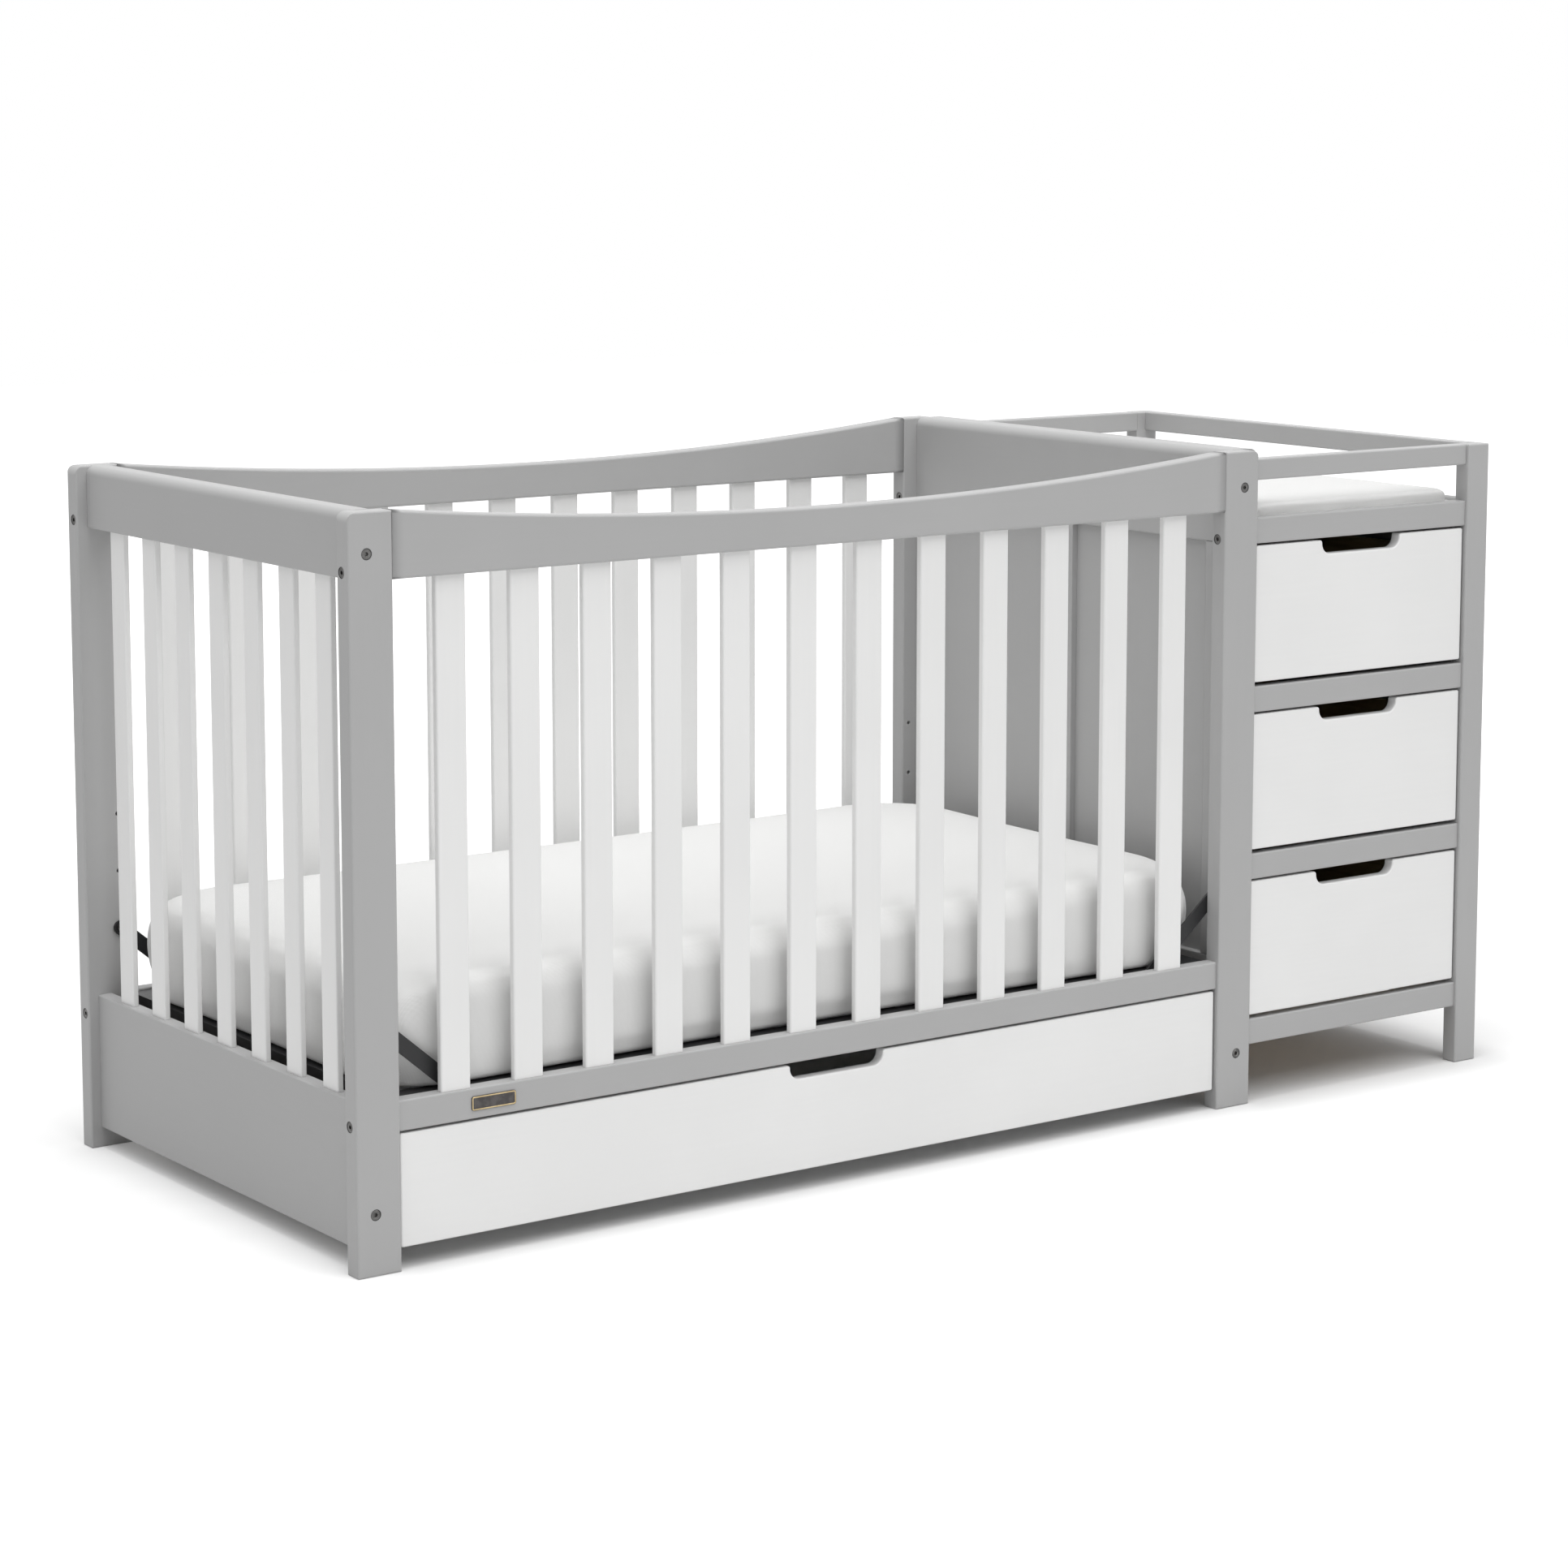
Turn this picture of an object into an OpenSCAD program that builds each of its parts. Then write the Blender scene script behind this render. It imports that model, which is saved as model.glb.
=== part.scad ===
// Crib with a changer joined to its right end.
// Millimetres. +X runs along the length towards the changer, the front faces -Y, +Z is up.
// The origin is on the floor under the middle of the whole piece of furniture.

/* [Overall] */
// Length from the crib's left posts to the changer's right legs
total_l = 1913; // [1860:1:1990]
// Depth over the posts
total_d = 769; // [760:1:790]
// Height of the crib posts
post_h = 940; // [920:1:980]

/* [Crib frame] */
// Clear length between the left and right posts
crib_clear_l = 1334; // [1320:1:1346]
// Width of a crib post, seen from the front
post_w = 61.5; // [55:0.5:70]
// Thickness of a crib post, front to back
post_t = 27.5; // [24:0.5:32]
// Radius of a post's top outer corner
post_corner_r = 12; // [6:1:20]
// Rounding of the edges of posts and rails
edge_r = 2.5; // [1:0.5:3]
// Thickness of the plain rails
rail_t = 22; // [18:0.5:22]
// How far the plain rails sit back from the post faces
rail_setback = 5; // [3:0.5:5.5]
// Height of the underside of the dipped top rails
top_rail_z = 856; // [850:1:870]
// Depth of the dip in a top rail's upper edge
top_rail_dip = 34.5; // [20:0.5:40]
// Height of the underside of the front and back bottom rails
bottom_rail_z = 175; // [173:1:180]
// Height of a bottom rail itself
bottom_rail_h = 39; // [35:1:39]

/* [Slats] */
// Slats in the front, and in the back
side_slats = 12; // [10:1:14]
// Width of a front or back slat
side_slat_w = 42.5; // [36:0.5:48]
// Thickness of a front or back slat
side_slat_t = 10; // [9:0.5:12]
// Slats in the left end
end_slats = 7; // [6:1:8]
// Width of a left-end slat
end_slat_w = 38.5; // [32:0.5:44]
// Thickness of a left-end slat
end_slat_t = 8.5; // [7:0.5:10]

/* [Crib ends] */
// How far the left end sits in from the posts' outer faces
end_setback = 15; // [12:0.5:18]
// Thickness of the left end's rounded top rail
end_rail_t = 41; // [38:0.5:44]
// Thickness of the bottom boards of both ends
end_board_t = 21.5; // [19:0.5:22]
// Height of the underside of the bottom boards
end_board_z = 28; // [20:1:40]
// Height of the top of the bottom boards
end_board_top = 214; // [205:1:220]
// Thickness of the right end's rounded top board
cap_t = 58; // [50:1:60]
// Height of the underside of the right end's top board
cap_z = 808.5; // [804:0.5:812]
// Width of the front and back stiles in the right end
stile_w = 40; // [34:1:50]
// Width of the centre stile in the right end
centre_stile_w = 45; // [38:1:55]
// How far the right end's panels sit back from the stiles
panel_setback = 9; // [6:0.5:10]

/* [Mattress and support] */
// Length of the mattress
mattress_l = 1324; // [1300:1:1326]
// Width of the mattress
mattress_w = 694; // [680:1:696]
// Thickness of the mattress at its edge
mattress_h = 139; // [100:1:150]
// Height of the top of the steel support
support_z = 212; // [208:1:222]
// Leg length of the support's steel angle
angle_leg = 25; // [20:1:30]
// Thickness of the support's steel
steel_t = 3; // [2:0.5:3]
// Width of a hanger strap
strap_w = 20; // [16:1:24]
// Spacing of the mattress height holes in a post
height_step = 79; // [60:1:90]
// Height of the lowest of those holes
height_hole_z = 304; // [295:1:315]

/* [Changer] */
// Width of a changer leg, seen from the front
leg_w = 42; // [36:0.5:48]
// Thickness of a changer leg, front to back
leg_t = 26; // [24:0.5:28]
// Height of the changer legs and guard rails
leg_h = 927.5; // [900:0.5:936]
// Height of a guard rail itself
guard_h = 30; // [24:1:36]
// Height of the top of the platform rail
platform_z = 844.5; // [840:0.5:850]
// Height of each rail under a drawer, and of the platform rail
divider_h = 37; // [32:0.5:40]
// Height from one divider rail to the next
drawer_pitch = 240.8; // [236:0.2:242]
// Thickness of the changing deck
deck_t = 12; // [9:1:15]
// Drop from the platform rail's top to the deck
deck_drop = 4.5; // [3:0.5:8]
// Width of the changing pad
pad_w = 394; // [380:1:396]
// Length of the changing pad, front to back
pad_l = 704; // [660:1:708]
// Thickness of the changing pad at its edge
pad_h = 20; // [16:1:30]

/* [Drawers] */
// Thickness of a drawer front
front_t = 18; // [15:0.5:19]
// How far the drawer fronts sit back from the posts
front_setback = 6; // [5:0.5:8]
// Gap at each side of a drawer front
side_gap = 2.7; // [2:0.1:4]
// Gap above a changer drawer front
gap_above = 3.2; // [2.5:0.1:4]
// Gap below a changer drawer front
gap_below = 5.8; // [4:0.1:6]
// Thickness of the drawer box sides and backs
box_t = 12; // [9:1:15]
// Thickness of the drawer bottoms
bottom_t = 5; // [4:0.5:8]
// Length of a changer drawer box behind its front
changer_box_l = 600; // [500:10:660]
// Height of a changer drawer box
changer_box_h = 150; // [120:1:154]
// Length of the under-crib drawer box behind its front
crib_box_l = 640; // [500:10:670]
// Height of the under-crib drawer box
crib_box_h = 110; // [80:1:112]
// Depth of a finger notch
notch_h = 20; // [16:1:24]
// Width of a finger notch between its upright sides
notch_w = 152; // [100:1:180]

/* [Fasteners] */
// Diameter of a bolt's shank
bolt_d = 6; // [5:0.5:8]
// Diameter of a bolt's head
head_d = 13; // [12:0.5:14]
// Diameter of the counterbore round a bolt's head
counterbore_d = 14.5; // [14:0.5:16]
// Diameter of a barrel nut
barrel_d = 10; // [9:0.5:11]

/* [Hidden] */
$fn = 48;

grey_paint = [0.67, 0.67, 0.67];
white_paint = [0.9, 0.9, 0.89];
raw_board = [0.84, 0.79, 0.7];
black_steel = [0.12, 0.12, 0.13];
white_steel = [0.86, 0.86, 0.86];
bolt_steel = [0.25, 0.24, 0.24];
soft_white = [0.96, 0.96, 0.96];
brass = [0.62, 0.52, 0.34];

// Lengthwise places, from the left posts' outer faces
crib_l = crib_clear_l + 2 * post_w;
crib_right_x = crib_l - post_w;
leg_x = total_l - leg_w;
bay_l = leg_x - crib_l;
end_inner_x = end_setback + end_board_t;
right_face_x = crib_l - end_inner_x;
crib_mid_x = crib_l / 2;

// Places front to back, from the posts' front faces
end_run = total_d - 2 * post_t;
rail_back_y = rail_setback + rail_t;
front_back_y = front_setback + front_t;

// Heights of the changer's rails: 0 is the platform rail, 3 the lowest
function rail_top(i) = platform_z - i * drawer_pitch;
function rail_bottom(i) = rail_top(i) - divider_h;

// Heights of a changer drawer front: 1 is the top drawer, 3 the lowest
changer_front_h = drawer_pitch - divider_h - gap_above - gap_below;
function drawer_z(i) = rail_top(i) + gap_below;
changer_front_l = bay_l - 2 * side_gap;
crib_front_h = bottom_rail_z - gap_above - end_board_z;
crib_front_l = crib_clear_l - 2 * side_gap;

// Straight steps in the arc of a dipped top rail
arc_steps = 32;

// Drawer slides
slide_t = 12.5;
slide_h = 36;
slide_steel = 1.2;
slide_flange = 9;
slide_front_y = post_t + 4;
slide_rise = 14;
slide_stop = 10;
wheel_r = 9;
wheel_t = 6;
wheel_rise = 4;
wheel_inset = 3;
axle_r = 3;
box_rise = 15;
bottom_rise = 8;
box_edge_r = 1.5;

// Finger notch: its lower corners and its eased upper ones
notch_r = 14;
notch_ease = 4;

// Under-crib drawer guides
guide_z = 80;
guide_gap = 3;
guide_play = 0.7;
guide_inset = 10;
runner_t = 10;
runner_h = 22;
runner_play = 4.5;
runner_setback = 20;
runner_z = guide_z + 18;
crib_box_x = post_w + runner_play + runner_t;
crib_box_z = end_board_z + 10;

// Mattress support
support_clear = 1.5;
strap_gap = 0.4;
strap_y = post_t + strap_gap;
support_y = strap_y + steel_t + strap_gap;
weld_gap = 0.2;
deck_bars = 9;
deck_wires = 8;
wire_d = 4;
height_hole_inset = 12;
height_hole_d = 6;
height_hole_deep = 15;
strap_foot_drop = 11;
strap_fall = height_hole_z - support_z + strap_foot_drop;
strap_run = 121;
strap_head_d = 11;
strap_head_h = 3.5;
strap_bolt_d = 5.6;
strap_bolt_play = 2;

// Bolts: countersunk depth, head and socket, and how far a nut sits past the joint
head_sink = 0.6;
head_h = 4;
counterbore_deep = head_sink + head_h;
socket_af = 5;
socket_deep = 3;
grip = 34;
nut_play = 0.2;
bore_play = 0.6;
bore_end = 3;
end_bolt_x = 25.8;
end_bolt_z = [77.5, 889];
side_bolt_y = 16.3;
side_bolt_z = [188, 867];
platform_bolt_z = 817;
leg_bolt_z = [rail_bottom(3) + divider_h / 2, rail_bottom(0) + divider_h / 2];

// Round sections
cap_r = 13;
end_rail_r = 12;
end_slat_r = 2;

// Cushions: corner, roundings of the top and bottom edges as [inset, height], pull at the
// sides' middles, crown, gap underneath
mattress_corner_r = 36;
mattress_ease = 70;
mattress_edge = [22, 26];
mattress_toe = [7, 9];
mattress_draw = 4;
mattress_crown = 4;
mattress_gap = 0.5;
pad_corner_r = 22;
pad_ease = 8;
pad_edge = [9, 11];
pad_toe = [5, 6];
pad_draw = 4;
pad_crown = 5;
pad_gap = 0.3;
pad_shift = 3.5;

// Changer's thin panels and its right side
back_panel_t = 5;
back_panel_setback = 13;
side_rail_setback = 2;

// Small plate on the front bottom rail
plate_l = 64;
plate_h = 18;
plate_t = 1.5;
plate_x = 197.5;
plate_r = 3;

// Every module works from the left posts' outer faces, the front faces and the floor
module place() {
  translate([-total_l / 2, -total_d / 2, 0]) children();
}

// The same shape at the front and, mirrored, at the back
module at_back() {
  translate([0, total_d, 0]) mirror([0, 1, 0]) children();
}

// The same shape at the left and, mirrored, at the right end of the crib
module at_crib_right() {
  translate([crib_l, 0, 0]) mirror([1, 0, 0]) children();
}

// Rectangle with four round corners
module round_rect(w, h, r) {
  translate([r, 0]) square([w - 2 * r, h]);
  translate([0, r]) square([w, h - 2 * r]);
  for (x = [r, w - r], y = [r, h - r])
    translate([x, y]) circle(r);
}

// Rectangle whose top corners are rounder than its bottom ones
module bullnose(w, h, r_top, r_bottom) {
  translate([r_top, 0]) square([w - 2 * r_top, h]);
  translate([0, r_bottom]) square([w, h - r_top - r_bottom]);
  translate([r_bottom, 0]) square([w - 2 * r_bottom, h / 2]);
  for (x = [r_top, w - r_top])
    translate([x, h - r_top]) circle(r_top);
  for (x = [r_bottom, w - r_bottom])
    translate([x, r_bottom]) circle(r_bottom);
}

// Board with all its edges rounded
module soft_box(s, r) {
  intersection() {
    linear_extrude(s[2]) round_rect(s[0], s[1], r);
    translate([0, s[1], 0]) rotate([90, 0, 0]) linear_extrude(s[1]) round_rect(s[0], s[2], r);
    rotate([90, 0, 90]) linear_extrude(s[0]) round_rect(s[1], s[2], r);
  }
}

// Boards that run along X, Y or Z and are cut square at their ends
module rail_along_x(l, t, h, r) {
  rotate([90, 0, 90]) linear_extrude(l) round_rect(t, h, r);
}
module board_along_y(l, t, h, r) {
  translate([0, l, 0]) rotate([90, 0, 0]) linear_extrude(l) round_rect(t, h, r);
}
module slat_along_z(w, t, h, r) {
  linear_extrude(h) round_rect(w, t, r);
}

// Where the bolts go: a point on the outer face and the turn that sends +Z inwards
function end_bolts(x) = [for (z = end_bolt_z) [[x, 0, z], [-90, 0, 0], post_t]];
function side_bolts(x, turn) = [for (z = side_bolt_z) [[x, side_bolt_y, z], [0, turn, 0], post_w]];
left_sites = concat(end_bolts(end_bolt_x), side_bolts(0, 90));
right_sites = concat(
  end_bolts(crib_l - end_bolt_x),
  side_bolts(crib_l, -90),
  [[[crib_right_x, side_bolt_y, platform_bolt_z], [0, 90, 0], post_w]]
);
leg_sites = [for (z = leg_bolt_z) [[total_l, side_bolt_y, z], [0, -90, 0], leg_w]];
bolt_sites = concat(left_sites, right_sites, leg_sites);

// Socket-head bolt along +Z: its head faces -Z, just under the face at z = 0
module bolt(joint) {
  difference() {
    translate([0, 0, head_sink]) cylinder(d = head_d, h = head_h);
    translate([0, 0, head_sink - 1]) cylinder(d = socket_af / cos(30), h = socket_deep + 1, $fn = 6);
  }
  translate([0, 0, counterbore_deep]) cylinder(d = bolt_d, h = joint + grip - counterbore_deep);
}

// Barrel nut that the bolt's end screws into, set across the bolt
module barrel_nut(joint) {
  translate([0, 0, joint + grip - barrel_d / 2]) difference() {
    rotate([90, 0, 0]) cylinder(d = barrel_d, h = barrel_d, center = true);
    cylinder(d = bolt_d + nut_play, h = 2 * barrel_d, center = true);
  }
}

// Room in the wood for a bolt and its nut
module bolt_room(joint) {
  translate([0, 0, -1]) cylinder(d = counterbore_d, h = counterbore_deep + 1);
  cylinder(d = bolt_d + bore_play, h = joint + grip + bore_end);
  translate([0, 0, joint + grip - barrel_d / 2])
    rotate([90, 0, 0]) cylinder(d = barrel_d + bore_play, h = barrel_d + 1, center = true);
}

module drill(sites) {
  difference() {
    children();
    for (s = sites)
      translate(s[0]) rotate(s[1]) bolt_room(s[2]);
  }
}

// ---- Crib posts and rails ----

// Front view of a post: the top corner on its outer side, at x = 0, is rounder
module post_outline() {
  translate([edge_r, 0]) square([post_w - 2 * edge_r, post_h - post_corner_r]);
  translate([0, edge_r]) square([post_w, post_h - edge_r - post_corner_r]);
  translate([post_corner_r, 0]) square([post_w - post_corner_r - edge_r, post_h]);
  translate([post_corner_r, 0]) square([post_w - post_corner_r, post_h - edge_r]);
  translate([post_corner_r, post_h - post_corner_r]) circle(post_corner_r);
  for (p = [[edge_r, edge_r], [post_w - edge_r, edge_r], [post_w - edge_r, post_h - edge_r]])
    translate(p) circle(edge_r);
}

// Holes for the mattress hangers, in the face of a post that looks into the crib
module height_holes() {
  for (i = [0:2])
    translate([post_w - height_hole_inset, post_t + 1, height_hole_z + i * height_step])
      rotate([90, 0, 0]) cylinder(d = height_hole_d, h = height_hole_deep + 1);
}

// Front left post; the others are its mirror images
module post() {
  difference() {
    intersection() {
      linear_extrude(post_h) round_rect(post_w, post_t, edge_r);
      translate([0, post_t, 0]) rotate([90, 0, 0]) linear_extrude(post_t) post_outline();
      rotate([90, 0, 90]) linear_extrude(post_w) round_rect(post_t, post_h, edge_r);
    }
    height_holes();
  }
}

// Front view of a top rail, from its middle: straight underneath, one long arc on top
module dipped_outline() {
  half = crib_clear_l / 2;
  arc_r = (half * half + top_rail_dip * top_rail_dip) / (2 * top_rail_dip);
  arc_z = post_h - top_rail_dip + arc_r;
  arc = [for (k = [0:arc_steps])
    let (x = half * (1 - 2 * k / arc_steps))
    [x, arc_z - sqrt(arc_r * arc_r - x * x)]];
  polygon(concat([[-half, top_rail_z], [half, top_rail_z]], arc));
}

module dipped_rail() {
  intersection() {
    translate([crib_mid_x, post_t, 0]) rotate([90, 0, 0]) linear_extrude(post_t) dipped_outline();
    translate([post_w, 0, top_rail_z]) rail_along_x(crib_clear_l, post_t, post_h, edge_r);
  }
}

module bottom_rail() {
  translate([post_w, rail_setback, bottom_rail_z])
    rail_along_x(crib_clear_l, rail_t, bottom_rail_h, edge_r);
}

// Evenly spaced slats between the bottom rail and the top rail
module side_slat_row() {
  gap = (crib_clear_l - side_slats * side_slat_w) / (side_slats + 1);
  slat_y = (post_t - side_slat_t) / 2;
  slat_z = bottom_rail_z + bottom_rail_h;
  for (i = [0:side_slats - 1])
    translate([post_w + gap + i * (side_slat_w + gap), slat_y, slat_z])
      slat_along_z(side_slat_w, side_slat_t, top_rail_z - slat_z, edge_r);
}

module post_front_left() {
  color(grey_paint) place() drill(left_sites) post();
}
module post_back_left() {
  color(grey_paint) place() at_back() drill(left_sites) post();
}
module post_front_right() {
  color(grey_paint) place() drill(right_sites) at_crib_right() post();
}
module post_back_right() {
  color(grey_paint) place() at_back() drill(right_sites) at_crib_right() post();
}
module front_top_rail() {
  color(grey_paint) place() drill(concat(left_sites, right_sites)) dipped_rail();
}
module back_top_rail() {
  color(grey_paint) place() at_back() drill(concat(left_sites, right_sites)) dipped_rail();
}
module front_bottom_rail() {
  color(grey_paint) place() drill(concat(left_sites, right_sites)) bottom_rail();
}
module back_bottom_rail() {
  color(grey_paint) place() at_back() drill(concat(left_sites, right_sites)) bottom_rail();
}
module front_slats() {
  color(white_paint) place() side_slat_row();
}
module back_slats() {
  color(white_paint) place() at_back() side_slat_row();
}

// ---- Crib ends ----

module drill_ends(sites) {
  drill(sites) at_back() drill(sites) at_back() children();
}

module left_top_rail() {
  rail_h = post_h - top_rail_z;
  color(grey_paint) place() drill_ends(left_sites)
    translate([end_setback, total_d - post_t, top_rail_z]) rotate([90, 0, 0])
      linear_extrude(end_run) bullnose(end_rail_t, rail_h, end_rail_r, edge_r);
}

module left_bottom_board() {
  color(grey_paint) place() drill_ends(left_sites)
    translate([end_setback, post_t, end_board_z])
      board_along_y(end_run, end_board_t, end_board_top - end_board_z, edge_r);
}

module left_slats() {
  gap = (end_run - end_slats * end_slat_w) / (end_slats + 1);
  slat_x = end_setback + (end_board_t - end_slat_t) / 2;
  color(white_paint) place()
    for (i = [0:end_slats - 1])
      translate([slat_x, post_t + gap + i * (end_slat_w + gap), end_board_top])
        slat_along_z(end_slat_t, end_slat_w, top_rail_z - end_board_top, end_slat_r);
}

module right_top_board() {
  color(grey_paint) place() drill_ends(right_sites)
    translate([right_face_x, total_d - post_t, cap_z]) rotate([90, 0, 0])
      linear_extrude(end_run) bullnose(cap_t, post_h - cap_z, cap_r, edge_r);
}

module right_bottom_board() {
  color(grey_paint) place() drill_ends(right_sites)
    translate([right_face_x, post_t, end_board_z])
      board_along_y(end_run, end_board_t, end_board_top - end_board_z, edge_r);
}

// Front, centre and back stiles: where each starts and its width
stiles = [
  [post_t, stile_w],
  [(total_d - centre_stile_w) / 2, centre_stile_w],
  [total_d - post_t - stile_w, stile_w]
];

module right_stiles() {
  color(grey_paint) place()
    for (s = stiles)
      translate([right_face_x, s[0], end_board_top])
        cube([end_board_t, s[1], cap_z - end_board_top]);
}

module right_panels() {
  color(grey_paint) place()
    for (i = [0:1])
      translate([right_face_x + panel_setback, stiles[i][0] + stiles[i][1], end_board_top])
        cube([
          end_board_t - panel_setback,
          stiles[i + 1][0] - stiles[i][0] - stiles[i][1],
          cap_z - end_board_top
        ]);
}

// ---- Mattress and its support ----

// Outline of a cushion drawn in by inset, with corners of radius r: its sides pull in between them
function cushion_outline(l, w, r, draw, inset, corner_steps, side_steps) =
  let (a = l / 2 - inset, b = w / 2 - inset)
  [for (c = [0:3])
    let (
      sx = (c == 0 || c == 3) ? 1 : -1,
      sy = c < 2 ? 1 : -1,
      along_x = c % 2 == 0
    )
    each concat(
      [for (k = [0:corner_steps])
        let (t = 90 * c + 90 * k / corner_steps)
        [sx * (a - r) + r * cos(t), sy * (b - r) + r * sin(t)]],
      [for (k = [1:side_steps - 1])
        let (u = k / side_steps, pull = draw * (1 - pow(2 * u - 1, 2)))
        along_x
          ? [sx * (a - r) * (1 - 2 * u), sy * (b - pull)]
          : [sx * (a - pull), sy * (b - r) * (1 - 2 * u)]]
    )
  ];

// Closed cushion: flat underneath, rounded edges, crowned on top. Its corners are tightest
// at half height, r, and ease off to r + ease at the top and bottom
module cushion(l, w, h, r, ease, edge, toe, draw, crown, corner_steps, edge_steps) {
  side_steps = 6;
  belly_steps = 4;
  belly = h - edge[1] - toe[1];
  // Inset and height of each ring up the side: round the bottom edge, then the top one
  side_rings = concat(
    [for (k = [0:edge_steps - 1])
      let (t = 90 * (k / edge_steps - 1))
      [toe[0] * (1 - cos(t)), toe[1] * (1 + sin(t))]],
    [for (k = [0:belly_steps - 1]) [0, toe[1] + belly * k / belly_steps]],
    [for (k = [0:edge_steps])
      let (t = 90 * k / edge_steps)
      [edge[0] * (1 - cos(t)), h - edge[1] * (1 - sin(t))]]
  );
  shrink = [0.86, 0.6, 0.3];
  side_outlines = [for (s = side_rings)
    cushion_outline(l, w, r + ease * pow(2 * s[1] / h - 1, 2), draw, s[0], corner_steps, side_steps)];
  top = side_outlines[len(side_outlines) - 1];
  n = len(top);
  rings = concat(
    [for (k = [0:len(side_rings) - 1])
      [for (p = side_outlines[k]) [p[0], p[1], side_rings[k][1]]]],
    [for (k = shrink) [for (p = top)
      [k * p[0], k * p[1], h + crown * (1 - pow(k * p[0] * 2 / l, 2)) * (1 - pow(k * p[1] * 2 / w, 2))]]]
  );
  m = len(rings);
  points = concat([for (ring = rings) each ring], [[0, 0, 0], [0, 0, h + crown]]);
  sides = [for (j = [0:m - 2], i = [0:n - 1])
    let (a = j * n + i, b = j * n + (i + 1) % n)
    each [[a, a + n, b], [b, a + n, b + n]]];
  base = [for (i = [0:n - 1]) [m * n, i, (i + 1) % n]];
  lid = [for (i = [0:n - 1]) [m * n + 1, (m - 1) * n + (i + 1) % n, (m - 1) * n + i]];
  polyhedron(points, concat(sides, base, lid));
}

module mattress() {
  color(soft_white) place()
    translate([crib_mid_x, total_d / 2, support_z + mattress_gap])
      cushion(
        mattress_l, mattress_w, mattress_h, mattress_corner_r, mattress_ease, mattress_edge,
        mattress_toe, mattress_draw, mattress_crown, corner_steps = 6, edge_steps = 5
      );
}

// Steel angle along X at the front of the support: its upright leg outside, its flange on top,
// each cut short at both ends
module support_angle(l, leg_cut, flange_cut) {
  translate([leg_cut, 0, -angle_leg]) cube([l - 2 * leg_cut, steel_t, angle_leg]);
  translate([flange_cut, 0, -steel_t]) cube([l - 2 * flange_cut, angle_leg, steel_t]);
}

// The same shape at all four corners of the crib
module at_corners() {
  children();
  at_back() children();
  at_crib_right() children();
  at_back() at_crib_right() children();
}

// Axes of the front left strap's two bolts, pointing to the back
module at_strap_top() {
  translate([post_w - height_hole_inset, strap_y, height_hole_z]) rotate([-90, 0, 0]) children();
}
module at_strap_foot() {
  at_strap_top() translate([strap_run, strap_fall, 0]) children();
}

// Angles round the edge, the end ones cut to fit between the long ones
module support_edge(l, w) {
  leg_cut = steel_t + weld_gap;
  flange_cut = angle_leg + weld_gap;
  support_angle(l, 0, 0);
  translate([0, w, 0]) mirror([0, 1, 0]) support_angle(l, 0, 0);
  translate([0, w, 0]) rotate([0, 0, -90]) support_angle(w, leg_cut, flange_cut);
  translate([l, 0, 0]) rotate([0, 0, 90]) support_angle(w, leg_cut, flange_cut);
}

// Flat bars across and wires along, welded together and to the angles' flanges
module support_deck(l, w) {
  start = steel_t + weld_gap;
  bar_z = -2 * steel_t - weld_gap;
  for (i = [1:deck_bars])
    translate([i * l / (deck_bars + 1) - strap_w / 2, start, bar_z])
      cube([strap_w, w - 2 * start, steel_t]);
  for (i = [1:deck_wires])
    translate([start, i * w / (deck_wires + 1), bar_z])
      rotate([0, 90, 0]) cylinder(d = wire_d, h = l - 2 * start);
}

// The whole support, its front left corner at the origin and its top at z = 0
module support_frame() {
  l = crib_clear_l - 2 * support_clear;
  w = total_d - 2 * support_y;
  translate([post_w + support_clear, support_y, support_z]) {
    support_edge(l, w);
    support_deck(l, w);
  }
}

module mattress_support() {
  color(black_steel) place() difference() {
    support_frame();
    at_corners() at_strap_foot() cylinder(d = height_hole_d, h = 4 * steel_t);
  }
}

// Flat strap from a post's height hole down to the support's long side
module hanger() {
  at_strap_top() rotate([0, 0, atan2(strap_fall, strap_run)]) difference() {
    reach = norm([strap_fall, strap_run]);
    union() {
      cylinder(d = strap_w, h = steel_t);
      translate([0, -strap_w / 2, 0]) cube([reach, strap_w, steel_t]);
      translate([reach, 0, 0]) cylinder(d = strap_w, h = steel_t);
    }
    for (x = [0, reach])
      translate([x, 0, -1]) cylinder(d = height_hole_d, h = steel_t + 2);
  }
}

module hanger_straps() {
  color(black_steel) place() at_corners() hanger();
}

// Bolts of a strap: into the post's height hole, and through the support's upright leg
module strap_bolts() {
  support_face = support_y + steel_t - strap_y;
  at_strap_top() {
    translate([0, 0, steel_t]) cylinder(d = strap_head_d, h = strap_head_h);
    translate([0, 0, strap_bolt_play - height_hole_deep])
      cylinder(d = strap_bolt_d, h = height_hole_deep - strap_bolt_play + steel_t);
  }
  at_strap_foot() {
    translate([0, 0, support_face]) cylinder(d = strap_head_d, h = strap_head_h);
    cylinder(d = strap_bolt_d, h = support_face);
  }
}

// ---- Drawers ----

// Finger notch: upright sides, round lower corners and eased upper ones, bottom at y = 0
module notch_outline() {
  half = notch_w / 2;
  shoulder = notch_h - notch_ease;
  translate([-half, notch_r]) square([notch_w, notch_h]);
  translate([notch_r - half, 0]) square([notch_w - 2 * notch_r, notch_r + 1]);
  for (s = [-1, 1])
    translate([s * (half - notch_r), notch_r]) circle(notch_r);
  difference() {
    translate([-half - notch_ease, shoulder]) square([notch_w + 2 * notch_ease, 2 * notch_ease]);
    for (s = [-1, 1])
      translate([s * (half + notch_ease), shoulder]) circle(notch_ease);
  }
}

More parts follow.
